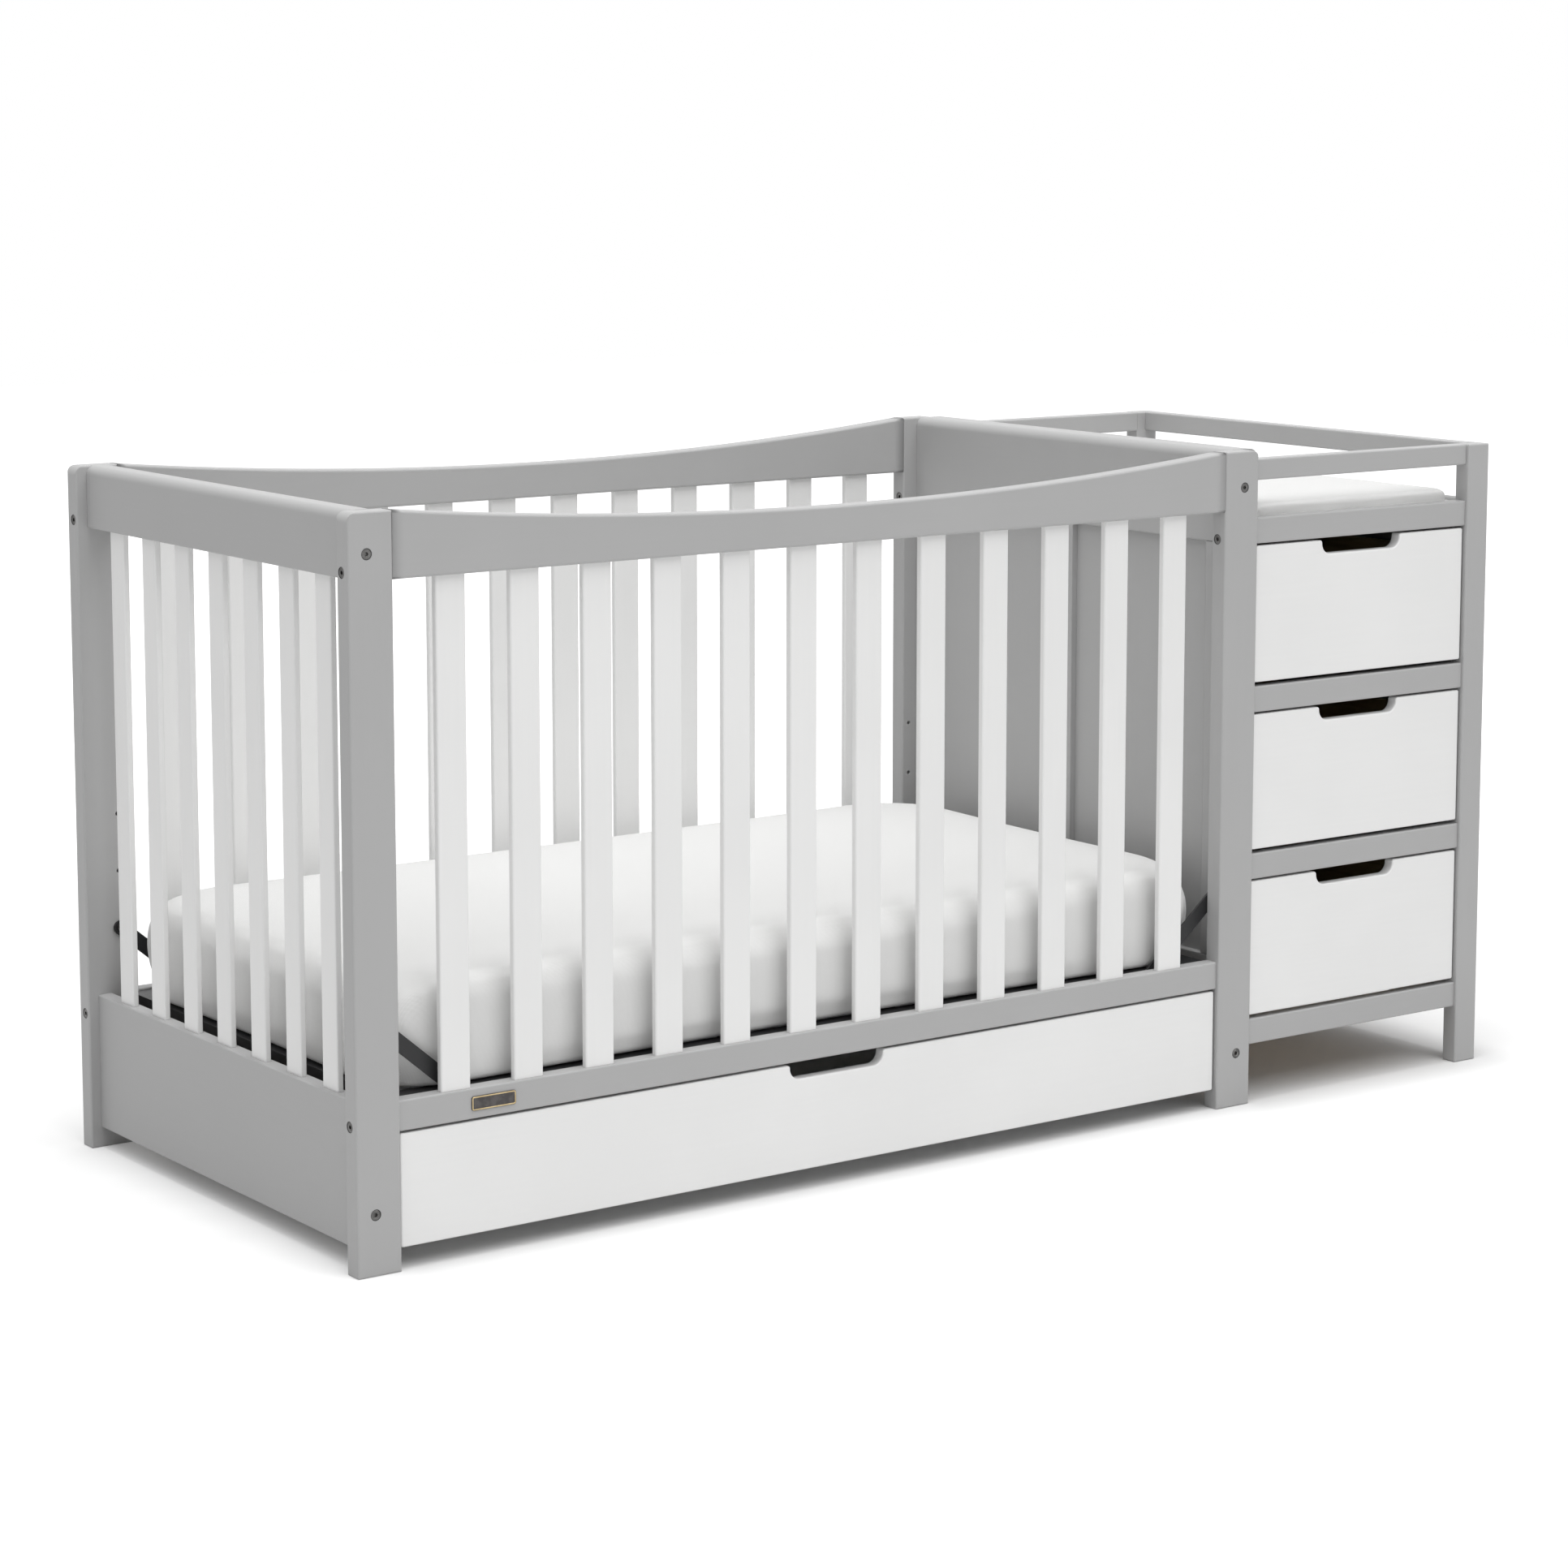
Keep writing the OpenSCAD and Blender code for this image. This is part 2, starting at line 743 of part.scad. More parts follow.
// Drawer front with a finger notch in the middle of its top edge
module drawer_front(l, h) {
  difference() {
    soft_box([l, front_t, h], edge_r);
    translate([l / 2, front_t + 1, h - notch_h]) rotate([90, 0, 0])
      linear_extrude(front_t + 2) notch_outline();
  }
}

module box_sides(l, depth, h) {
  for (x = [0, l - box_t])
    translate([x, 0, 0]) board_along_y(depth, box_t, h, box_edge_r);
}

module box_back(l, depth, h) {
  translate([box_t, depth - box_t, 0]) rail_along_x(l - 2 * box_t, box_t, h, box_edge_r);
}

module box_bottom(l, depth) {
  translate([box_t, 0, bottom_rise]) cube([l - 2 * box_t, depth - box_t, bottom_t]);
}

// ---- Under-crib drawer ----

module in_crib_box() {
  place() translate([crib_box_x, front_back_y, crib_box_z]) children();
}
crib_box_w = crib_l - 2 * crib_box_x;

module crib_drawer_front() {
  color(white_paint) place() translate([post_w + side_gap, front_setback, end_board_z])
    drawer_front(crib_front_l, crib_front_h);
}
module crib_drawer_sides() {
  color(white_paint) in_crib_box() box_sides(crib_box_w, crib_box_l, crib_box_h);
}
module crib_drawer_back() {
  color(white_paint) in_crib_box() box_back(crib_box_w, crib_box_l, crib_box_h);
}
module crib_drawer_bottom() {
  color(white_paint) in_crib_box() box_bottom(crib_box_w, crib_box_l);
}

// Hardwood strips on the drawer's sides that slide in the guides
module crib_drawer_runners() {
  color(raw_board) place()
    for (x = [crib_box_x - runner_t, crib_l - crib_box_x])
      translate([x, front_back_y + runner_setback, runner_z])
        cube([runner_t, crib_box_l - runner_setback, runner_h]);
}

// Two battens on the bottom board of an end, one below the drawer's strip and one above it
module guide() {
  width = crib_box_x - guide_gap - end_inner_x;
  batten_h = runner_z - guide_play - guide_z;
  for (z = [guide_z, runner_z + runner_h + guide_play])
    translate([end_inner_x, post_t + guide_inset, z])
      cube([width, end_run - 2 * guide_inset, batten_h]);
}
module crib_drawer_guides() {
  color(raw_board) place() {
    guide();
    at_crib_right() guide();
  }
}

// ---- Changer ----

module leg() {
  translate([leg_x, 0, 0]) soft_box([leg_w, leg_t, leg_h], edge_r);
}
module changer_leg_front() {
  color(grey_paint) place() drill(leg_sites) leg();
}
module changer_leg_back() {
  color(grey_paint) place() at_back() drill(leg_sites) leg();
}

// Rail across the changer's bay with its underside at height z
module bay_rail(z, h) {
  drill(concat(right_sites, leg_sites))
    translate([crib_l, rail_setback, z]) rail_along_x(bay_l, rail_t, h, edge_r);
}
module guard_rail_front() {
  color(grey_paint) place() bay_rail(leg_h - guard_h, guard_h);
}
module guard_rail_back() {
  color(grey_paint) place() at_back() bay_rail(leg_h - guard_h, guard_h);
}
module platform_rail() {
  color(grey_paint) place() bay_rail(rail_bottom(0), divider_h);
}
module upper_divider_rail() {
  color(grey_paint) place() bay_rail(rail_bottom(1), divider_h);
}
module lower_divider_rail() {
  color(grey_paint) place() bay_rail(rail_bottom(2), divider_h);
}
module changer_bottom_rail() {
  color(grey_paint) place() bay_rail(rail_bottom(3), divider_h);
}
module changer_back_rails() {
  color(grey_paint) place() at_back() {
    bay_rail(rail_bottom(0), divider_h);
    bay_rail(rail_bottom(3), divider_h);
  }
}

// The changer's right side: rails and a centre stile outside a full panel
side_rail_x = total_l - side_rail_setback - rail_t;
side_run = total_d - 2 * leg_t;
side_panel_t = side_rail_x - leg_x;

module side_rail(z, h) {
  translate([side_rail_x, leg_t, z]) board_along_y(side_run, rail_t, h, edge_r);
}
module guard_rail_side() {
  color(grey_paint) place() side_rail(leg_h - guard_h, guard_h);
}
module changer_side_frame() {
  color(grey_paint) place() {
    side_rail(rail_bottom(0), divider_h);
    side_rail(rail_bottom(3), divider_h);
    translate([side_rail_x, stiles[1][0], rail_top(3)])
      cube([rail_t, centre_stile_w, rail_bottom(0) - rail_top(3)]);
  }
}
deck_z = platform_z - deck_drop - deck_t;
module changer_side_panel() {
  color(grey_paint) place() translate([leg_x, leg_t, rail_bottom(3)])
    cube([side_panel_t, side_run, deck_z - rail_bottom(3)]);
}
module changer_inner_panel() {
  x = right_face_x + end_board_t;
  color(grey_paint) place() translate([x, post_t, rail_bottom(3)])
    cube([crib_l - x, end_run, cap_z - rail_bottom(3)]);
}
module changer_back_panel() {
  panel_y = total_d - back_panel_setback - back_panel_t;
  color(grey_paint) place() translate([crib_l, panel_y, rail_top(3)])
    cube([bay_l, back_panel_t, rail_bottom(0) - rail_top(3)]);
}
module changing_deck() {
  x = right_face_x + cap_t;
  color(white_paint) place() translate([x, rail_back_y, deck_z])
    cube([side_rail_x - x, total_d - 2 * rail_back_y, deck_t]);
}
module changing_pad() {
  x = (right_face_x + cap_t + side_rail_x) / 2 - pad_shift;
  color(soft_white) place()
    translate([x, total_d / 2, deck_z + deck_t + pad_gap]) rotate([0, 0, 90])
      cushion(
        pad_l, pad_w, pad_h, pad_corner_r, pad_ease, pad_edge, pad_toe,
        pad_draw, pad_crown, corner_steps = 5, edge_steps = 4
      );
}

// Fixed slide member: a C channel open towards the drawer, with a wheel at its front
module fixed_slide() {
  cube([slide_steel, changer_box_l, slide_h]);
  for (z = [0, slide_h - slide_steel])
    translate([0, 0, z]) cube([slide_flange, changer_box_l, slide_steel]);
  translate([slide_steel, wheel_r + wheel_inset, wheel_r + wheel_rise]) rotate([0, 90, 0])
    cylinder(r = wheel_r, h = wheel_t);
}

// Moving slide member: an upright leg on the box side, a lip over the wheel, a rear wheel
module moving_slide() {
  lip_z = 2 * wheel_r + wheel_rise + 0.5;
  lip_x = 3;
  l = changer_box_l - slide_stop;
  axle_y = l - wheel_r - 2;
  axle_z = wheel_r + 2;
  translate([slide_t - slide_steel, 0, 3]) cube([slide_steel, l, slide_h - 6]);
  translate([lip_x, 0, lip_z]) cube([slide_t - lip_x, l, slide_steel]);
  translate([slide_steel + 0.8, axle_y, axle_z]) rotate([0, 90, 0])
    cylinder(r = wheel_r, h = wheel_t);
  translate([slide_steel + wheel_t, axle_y, axle_z]) rotate([0, 90, 0])
    cylinder(r = axle_r, h = slide_t - slide_steel - wheel_t);
}

// Both slides of drawer i: the left one, and its mirror image on the right
module slide_pair(i) {
  place() translate([crib_l, slide_front_y, drawer_z(i) + slide_rise]) {
    children();
    translate([bay_l, 0, 0]) mirror([1, 0, 0]) children();
  }
}
module changer_slides() {
  color(white_steel)
    for (i = [1:3]) slide_pair(i) fixed_slide();
}

changer_box_w = bay_l - 2 * slide_t;
module in_changer_box(i) {
  place() translate([crib_l + slide_t, front_back_y, drawer_z(i) + box_rise]) children();
}
module changer_drawer_front(i) {
  color(white_paint) place() translate([crib_l + side_gap, front_setback, drawer_z(i)])
    drawer_front(changer_front_l, changer_front_h);
}
module changer_drawer_sides(i) {
  color(raw_board) in_changer_box(i) box_sides(changer_box_w, changer_box_l, changer_box_h);
}
module changer_drawer_back(i) {
  color(raw_board) in_changer_box(i) box_back(changer_box_w, changer_box_l, changer_box_h);
}
module changer_drawer_bottom(i) {
  color(raw_board) in_changer_box(i) box_bottom(changer_box_w, changer_box_l);
}
module changer_drawer_slides(i) {
  color(white_steel) slide_pair(i) moving_slide();
}

// ---- Fasteners and plate ----

module bolts_and_nuts() {
  for (s = bolt_sites)
    translate(s[0]) rotate(s[1]) {
      bolt(s[2]);
      barrel_nut(s[2]);
    }
}
module frame_fasteners() {
  color(bolt_steel) place() {
    bolts_and_nuts();
    at_back() bolts_and_nuts();
    at_corners() strap_bolts();
  }
}

module rail_plate() {
  color(brass) place()
    translate([plate_x - plate_l / 2, rail_setback, bottom_rail_z + (bottom_rail_h - plate_h) / 2])
      rotate([90, 0, 0]) linear_extrude(plate_t) round_rect(plate_l, plate_h, plate_r);
}

post_front_left();
post_back_left();
post_front_right();
post_back_right();
front_top_rail();
front_bottom_rail();
front_slats();
back_top_rail();
back_bottom_rail();
back_slats();
left_top_rail();
left_bottom_board();
left_slats();
right_top_board();
right_bottom_board();
right_stiles();
right_panels();
mattress_support();
hanger_straps();
mattress();
crib_drawer_front();
crib_drawer_sides();
crib_drawer_back();
crib_drawer_bottom();
crib_drawer_runners();
crib_drawer_guides();
changer_leg_front();
changer_leg_back();
guard_rail_front();
guard_rail_side();
guard_rail_back();
platform_rail();
upper_divider_rail();
lower_divider_rail();
changer_bottom_rail();
changing_deck();
changer_side_frame();
changer_side_panel();
changer_inner_panel();
changer_back_panel();
changer_back_rails();
changer_slides();
changing_pad();
changer_drawer_front(1);  // top_drawer_front
changer_drawer_sides(1);  // top_drawer_sides
changer_drawer_back(1);  // top_drawer_back
changer_drawer_bottom(1);  // top_drawer_bottom
changer_drawer_slides(1);  // top_drawer_slides
changer_drawer_front(2);  // middle_drawer_front
changer_drawer_sides(2);  // middle_drawer_sides
changer_drawer_back(2);  // middle_drawer_back
changer_drawer_bottom(2);  // middle_drawer_bottom
changer_drawer_slides(2);  // middle_drawer_slides
changer_drawer_front(3);  // bottom_drawer_front
changer_drawer_sides(3);  // bottom_drawer_sides
changer_drawer_back(3);  // bottom_drawer_back
changer_drawer_bottom(3);  // bottom_drawer_bottom
changer_drawer_slides(3);  // bottom_drawer_slides
frame_fasteners();
rail_plate();
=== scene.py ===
import math

import bmesh
import bpy
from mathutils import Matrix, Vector


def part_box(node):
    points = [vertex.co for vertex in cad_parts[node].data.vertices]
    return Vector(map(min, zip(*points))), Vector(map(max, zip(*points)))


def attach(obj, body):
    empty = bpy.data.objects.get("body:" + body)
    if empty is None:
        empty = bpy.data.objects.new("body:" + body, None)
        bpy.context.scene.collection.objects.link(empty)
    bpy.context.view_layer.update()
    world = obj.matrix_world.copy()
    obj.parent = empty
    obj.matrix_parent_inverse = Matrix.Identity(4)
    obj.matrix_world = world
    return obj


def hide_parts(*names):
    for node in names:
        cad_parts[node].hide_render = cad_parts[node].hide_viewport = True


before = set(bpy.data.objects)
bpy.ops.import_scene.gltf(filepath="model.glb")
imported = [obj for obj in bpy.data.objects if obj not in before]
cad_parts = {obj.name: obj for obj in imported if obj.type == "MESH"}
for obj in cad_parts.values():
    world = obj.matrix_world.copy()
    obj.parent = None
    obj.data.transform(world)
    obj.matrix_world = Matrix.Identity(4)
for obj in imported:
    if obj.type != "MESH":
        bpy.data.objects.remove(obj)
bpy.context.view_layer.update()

scene = bpy.context.scene
scene.view_settings.view_transform = "Standard"

# ---------------------------------------------------------------- camera

# Stands in front of the left end, a little above the top rails
CAMERA_PLACE = Vector((-3.1952, -4.4090, 1.4172))
CAMERA_YAW = 0.6205
CAMERA_PITCH = math.radians(7.64)
SENSOR_WIDTH = 36
FOCAL_LENGTH = 88.99
FRAME_SHIFT = -0.10
FARTHEST_SEEN = 60


def turn_to(holder, aim):
    """Turns a camera or a lamp so that it looks along aim."""
    holder.rotation_euler = aim.to_track_quat("-Z", "Y").to_euler()


def set_camera():
    lens = bpy.data.cameras.new("studio_camera")
    lens.sensor_width = SENSOR_WIDTH
    lens.lens = FOCAL_LENGTH
    lens.shift_y = FRAME_SHIFT
    lens.clip_end = FARTHEST_SEEN
    camera = bpy.data.objects.new("studio_camera", lens)
    camera.location = CAMERA_PLACE
    turn_to(camera, Vector((
        math.sin(CAMERA_YAW) * math.cos(CAMERA_PITCH),
        math.cos(CAMERA_YAW) * math.cos(CAMERA_PITCH),
        -math.sin(CAMERA_PITCH),
    )))
    scene.collection.objects.link(camera)
    scene.camera = camera


# ---------------------------------------------------------------- node trees


def add(tree, kind, inputs=None, **settings):
    """Adds a node: settings are its own properties, inputs are values or sockets to link."""
    node = tree.nodes.new(kind)
    for name, value in settings.items():
        setattr(node, name, value)
    for key, value in (inputs or {}).items():
        if isinstance(value, bpy.types.NodeSocket):
            tree.links.new(value, node.inputs[key])
        else:
            node.inputs[key].default_value = value
    return node


def calc(tree, operation, *values):
    """The result of a Math node."""
    return add(tree, "ShaderNodeMath", dict(enumerate(values)), operation=operation).outputs[0]


def plus(tree, first, second):
    return calc(tree, "ADD", first, second)


def minus(tree, first, second):
    return calc(tree, "SUBTRACT", first, second)


def times(tree, first, second):
    return calc(tree, "MULTIPLY", first, second)


def vector_calc(tree, operation, *values):
    """The result of a Vector Math node: a number from a length or a product, or else a vector."""
    node = add(tree, "ShaderNodeVectorMath", dict(enumerate(values)), operation=operation)
    return node.outputs["Value" if operation in ("LENGTH", "DOT_PRODUCT") else "Vector"]


def spread(tree, value, low, high, to_low=0.0, to_high=1.0):
    """A value moved smoothly from one range to another."""
    node = add(tree, "ShaderNodeMapRange", {
        "Value": value, "From Min": low, "From Max": high, "To Min": to_low, "To Max": to_high,
    }, interpolation_type="SMOOTHSTEP")
    return node.outputs["Result"]


def tint(tree, amount, first, second, blend="MIX"):
    """The first colour moved towards the second by amount."""
    node = add(tree, "ShaderNodeMix", {"Factor": amount, "A": first, "B": second},
               data_type="RGBA", blend_type=blend)
    return node.outputs["Result"]


def noise(tree, place, scale, detail=2.0, roughness=0.5):
    node = add(tree, "ShaderNodeTexNoise", {
        "Vector": place, "Scale": scale, "Detail": detail, "Roughness": roughness,
    })
    return node.outputs["Fac"]


def here(tree):
    """The place on the piece, in metres."""
    return add(tree, "ShaderNodeTexCoord").outputs["Object"]


def parts(tree, vector):
    """A vector's three numbers."""
    return add(tree, "ShaderNodeSeparateXYZ", {0: vector}).outputs


def effect(name, takes, gives):
    """An empty shader group with named sockets, and its two end nodes."""
    tree = bpy.data.node_groups.new(name, "ShaderNodeTree")
    for label, kind, default in takes:
        socket = tree.interface.new_socket(name=label, in_out="INPUT", socket_type=kind)
        socket.default_value = default
    for label, kind in gives:
        tree.interface.new_socket(name=label, in_out="OUTPUT", socket_type=kind)
    return tree, tree.nodes.new("NodeGroupInput").outputs, tree.nodes.new("NodeGroupOutput")


def finish_effect(tree, end, results):
    for label, socket in results.items():
        tree.links.new(socket, end.inputs[label])
    return tree


NUMBER, VECTOR, COLOUR = "NodeSocketFloat", "NodeSocketVector", "NodeSocketColor"
SURFACE = [("Colour", COLOUR), ("Roughness", NUMBER), ("Height", NUMBER)]


def make_rubbed_edges():
    """Where hands and cloths rub a piece: a mask along its edges, and their softened normal."""
    tree, given, end = effect("rubbed edges", [
        ("Reach", NUMBER, 0.0015), ("Patchiness", NUMBER, 30.0),
    ], [("Mask", NUMBER), ("Normal", VECTOR)])
    soft = add(tree, "ShaderNodeBevel", {"Radius": given["Reach"]}, samples=4).outputs[0]
    true = add(tree, "ShaderNodeNewGeometry").outputs["Normal"]
    edge = spread(tree, vector_calc(tree, "DOT_PRODUCT", soft, true), 0.99, 0.75)
    patches = spread(tree, noise(tree, here(tree), given["Patchiness"], 4.0), 0.45, 0.7)
    return finish_effect(tree, end, {"Mask": times(tree, edge, patches), "Normal": soft})


def make_spray_paint():
    """Satin lacquer sprayed on wood: fine orange peel, with the grain just showing through."""
    tree, given, end = effect("spray paint", [
        ("Paint", COLOUR, (0.4, 0.4, 0.4, 1)), ("Run", VECTOR, (9, 220, 220)),
        ("Sheen", NUMBER, 0.42), ("Wear", NUMBER, 0.0),
    ], SURFACE)
    place = here(tree)
    grain = noise(tree, vector_calc(tree, "MULTIPLY", place, given["Run"]), 1.0, 4.0, 0.6)
    peel = noise(tree, place, 700.0, 1.0)
    cloud = noise(tree, place, 5.0, 2.0)
    darker = tint(tree, 1.0, given["Paint"], (0.975, 0.975, 0.975, 1), blend="MULTIPLY")
    lighter = tint(tree, 0.12, given["Paint"], (1, 1, 1, 1))
    shade = plus(tree, times(tree, grain, 0.25), times(tree, cloud, 0.75))
    colour = tint(tree, spread(tree, shade, 0.66, 0.34), given["Paint"], darker)
    colour = tint(tree, given["Wear"], colour, lighter)
    uneven = times(tree, minus(tree, cloud, 0.5), 0.16)
    rough = minus(tree, plus(tree, given["Sheen"], uneven), times(tree, given["Wear"], 0.08))
    height = plus(tree, times(tree, peel, 0.4), times(tree, grain, 0.6))
    return finish_effect(tree, end, {"Colour": colour, "Roughness": rough, "Height": height})


def make_wood_grain():
    """Planed light wood: growth rings as long bands, fine pores, and a few darker streaks."""
    tree, given, end = effect("wood grain", [
        ("Early wood", COLOUR, (0.66, 0.52, 0.36, 1)), ("Late wood", COLOUR, (0.45, 0.31, 0.18, 1)),
        ("Run", VECTOR, (1.4, 24, 24)), ("Pores", VECTOR, (60, 1500, 1500)),
    ], SURFACE)
    place = here(tree)
    along = vector_calc(tree, "MULTIPLY", place, given["Run"])
    drift = noise(tree, along, 0.9, 3.0, 0.55)
    rings = calc(tree, "SINE", times(tree, drift, 46.0))
    bands = spread(tree, rings, -0.7, 0.95)
    pores = noise(tree, vector_calc(tree, "MULTIPLY", place, given["Pores"]), 1.0, 2.0, 0.7)
    dark_pores = spread(tree, pores, 0.56, 0.72)
    streaks = spread(tree, noise(tree, along, 3.0, 4.0, 0.6), 0.52, 0.75)
    colour = given["Early wood"]
    for mark, share in ((bands, 0.38), (streaks, 0.22), (dark_pores, 0.35)):
        colour = tint(tree, times(tree, mark, share), colour, given["Late wood"])
    rough = plus(tree, 0.42, times(tree, dark_pores, 0.25))
    height = minus(tree, times(tree, bands, 0.25), times(tree, dark_pores, 0.75))
    return finish_effect(tree, end, {"Colour": colour, "Roughness": rough, "Height": height})


def make_weave():
    """Plain weave on every side of a cushion: two sets of threads over and under each other, with
    painted shade in the low places between them.
    """
    tree, given, end = effect("plain weave", [
        ("Thread", COLOUR, (0.75, 0.75, 0.74, 1)), ("Gap", COLOUR, (0.6, 0.6, 0.59, 1)),
        ("Threads per metre", NUMBER, 900.0),
    ], SURFACE)
    coordinates = add(tree, "ShaderNodeTexCoord")
    place = coordinates.outputs["Object"]
    slub = noise(tree, place, 60.0, 3.0)
    turn = times(tree, given["Threads per metre"], math.pi)
    waves = [calc(tree, "SINE", times(tree, axis, turn)) for axis in parts(tree, place)]
    facing = parts(tree, coordinates.outputs["Normal"])
    sides = [calc(tree, "POWER", calc(tree, "ABSOLUTE", axis), 4.0) for axis in facing]
    total = plus(tree, plus(tree, sides[0], sides[1]), sides[2])
    height = None
    for side, a, b in zip(sides, (1, 0, 0), (2, 2, 1)):
        bump = calc(tree, "ABSOLUTE", times(tree, waves[a], waves[b]))
        share = times(tree, bump, calc(tree, "DIVIDE", side, total))
        height = share if height is None else plus(tree, height, share)
    # Painted shade: the low places between the threads take the darker second colour
    colour = tint(tree, spread(tree, height, 0.0, 0.6), given["Gap"], given["Thread"])
    soiled = tint(tree, spread(tree, slub, 0.6, 0.35, 0.0, 0.06), colour, given["Gap"])
    rough = minus(tree, 0.92, times(tree, height, 0.12))
    height = plus(tree, height, times(tree, slub, 0.6))
    return finish_effect(tree, end, {"Colour": soiled, "Roughness": rough, "Height": height})


def make_powder_coat():
    """Baked powder on steel: a fine pebbled skin, polished where it is rubbed."""
    tree, given, end = effect("powder coat", [
        ("Coat", COLOUR, (0.02, 0.02, 0.02, 1)), ("Rubbed", COLOUR, (0.08, 0.08, 0.08, 1)),
        ("Wear", NUMBER, 0.0),
    ], SURFACE)
    place = here(tree)
    pebbles = noise(tree, place, 1100.0, 2.0, 0.6)
    cloud = noise(tree, place, 14.0, 3.0)
    dulled = spread(tree, cloud, 0.3, 0.7, 0.0, 0.25)
    colour = tint(tree, dulled, given["Coat"], given["Rubbed"])
    colour = tint(tree, given["Wear"], colour, given["Rubbed"])
    rough = spread(tree, cloud, 0.3, 0.7, 0.38, 0.52)
    return finish_effect(tree, end, {"Colour": colour, "Roughness": rough, "Height": pebbles})


def make_brushed_metal():
    """Fine lines left by a belt, with dull clouds of tarnish or oil."""
    tree, given, end = effect("brushed metal", [
        ("Bright", COLOUR, (0.5, 0.5, 0.5, 1)), ("Dull", COLOUR, (0.3, 0.3, 0.3, 1)),
        ("Lines", VECTOR, (30, 2500, 2500)),
    ], SURFACE)
    place = here(tree)
    lines = noise(tree, vector_calc(tree, "MULTIPLY", place, given["Lines"]), 1.0, 3.0, 0.7)
    cloud = noise(tree, place, 120.0, 3.0)
    colour = tint(tree, spread(tree, cloud, 0.35, 0.65), given["Bright"], given["Dull"])
    dulled = spread(tree, cloud, 0.3, 0.7, 0.26, 0.42)
    rough = plus(tree, dulled, times(tree, lines, 0.08))
    return finish_effect(tree, end, {"Colour": colour, "Roughness": rough, "Height": lines})


rubbed_edges = make_rubbed_edges()
spray_paint = make_spray_paint()
wood_grain = make_wood_grain()
plain_weave = make_weave()
powder_coat = make_powder_coat()
brushed_metal = make_brushed_metal()

# ---------------------------------------------------------------- materials

# How often grain and pores change per metre: seldom along the board, often across it
PAINTED_GRAIN, BARE_GRAIN, BARE_PORES = (9, 220), (1.4, 24), (60, 1500)


def running(run, rates):
    """Rates of change on the three axes, for wood whose grain runs along one of them."""
    along, across = rates
    return [along if axis == run else across for axis in "xyz"]


def use(tree, group, **values):
    """Places an effect in a material. Its inputs are named with _ for a space."""
    node = tree.nodes.new("ShaderNodeGroup")
    node.node_tree = group
    for key, value in values.items():
        socket = node.inputs[key.replace("_", " ")]
        if isinstance(value, bpy.types.NodeSocket):
            tree.links.new(value, socket)
        else:
            socket.default_value = value
    return node.outputs


def blank(name):
    """A new material, its tree and its shader."""
    material = bpy.data.materials.new(name)
    material.use_nodes = True
    tree = material.node_tree
    return material, tree, tree.nodes["Principled BSDF"]


def set_shader(shader, values):
    for name, value in values.items():
        shader.inputs[name].default_value = value


def wire(tree, shader, look, depth, normal=None):
    """Feeds an effect's results to the shader: depth is the height of its relief in metres."""
    tree.links.new(look["Colour"], shader.inputs["Base Color"])
    tree.links.new(look["Roughness"], shader.inputs["Roughness"])
    relief = add(tree, "ShaderNodeBump", {
        "Height": look["Height"], "Strength": 1.0, "Distance": depth,
    })
    if normal is not None:
        tree.links.new(normal, relief.inputs["Normal"])
    tree.links.new(relief.outputs["Normal"], shader.inputs["Normal"])


def painted_wood(name, paint, run, sheen):
    material, tree, shader = blank(name)
    edges = use(tree, rubbed_edges, Reach=0.0014, Patchiness=26.0)
    look = use(tree, spray_paint, Paint=paint, Run=running(run, PAINTED_GRAIN), Sheen=sheen,
               Wear=edges["Mask"])
    wire(tree, shader, look, 0.00002, edges["Normal"])
    set_shader(shader, {"Specular IOR Level": 0.40})
    return material


def bare_wood(name, run):
    material, tree, shader = blank(name)
    look = use(tree, wood_grain, Run=running(run, BARE_GRAIN), Pores=running(run, BARE_PORES))
    edges = use(tree, rubbed_edges, Reach=0.0010, Patchiness=40.0)
    wire(tree, shader, look, 0.00008, edges["Normal"])
    set_shader(shader, {"Coat Weight": 0.15, "Coat Roughness": 0.35})
    return material


def coated_steel(name, coat, rubbed):
    material, tree, shader = blank(name)
    edges = use(tree, rubbed_edges, Reach=0.0008, Patchiness=60.0)
    look = use(tree, powder_coat, Coat=coat, Rubbed=rubbed, Wear=edges["Mask"])
    wire(tree, shader, look, 0.00005, edges["Normal"])
    return material


def bare_metal(name, bright, dull, lines):
    material, tree, shader = blank(name)
    edges = use(tree, rubbed_edges, Reach=0.0004, Patchiness=200.0)
    look = use(tree, brushed_metal, Bright=bright, Dull=dull, Lines=lines)
    wire(tree, shader, look, 0.00002, edges["Normal"])
    set_shader(shader, {"Metallic": 1.0})
    return material


def cloth(name, thread, gap, per_metre):
    material, tree, shader = blank(name)
    # gap is the painted shade colour between the threads
    look = use(tree, plain_weave, Thread=thread, Gap=gap, Threads_per_metre=per_metre)
    wire(tree, shader, look, 0.0002)
    set_shader(shader, {"Specular IOR Level": 0.2, "Sheen Weight": 0.25, "Sheen Roughness": 0.5})
    return material


GREY = (0.425, 0.425, 0.425, 1)
WHITE = (0.83, 0.83, 0.825, 1)
BELT_LINES = (30, 2500, 2500)
grey = {run: painted_wood("grey paint, grain " + run, GREY, run, 0.44) for run in "xyz"}
white = {run: painted_wood("white paint, grain " + run, WHITE, run, 0.40) for run in "xyz"}
birch = {run: bare_wood("lacquered birch, grain " + run, run) for run in "xyz"}
black_steel = coated_steel("black powder coat", (0.010, 0.010, 0.011, 1), (0.035, 0.035, 0.037, 1))
white_steel = coated_steel("white powder coat", (0.72, 0.72, 0.71, 1), (0.60, 0.60, 0.60, 1))
black_bolts = bare_metal(
    "black oxide", (0.20, 0.197, 0.193, 1), (0.12, 0.118, 0.115, 1), (900, 900, 900))
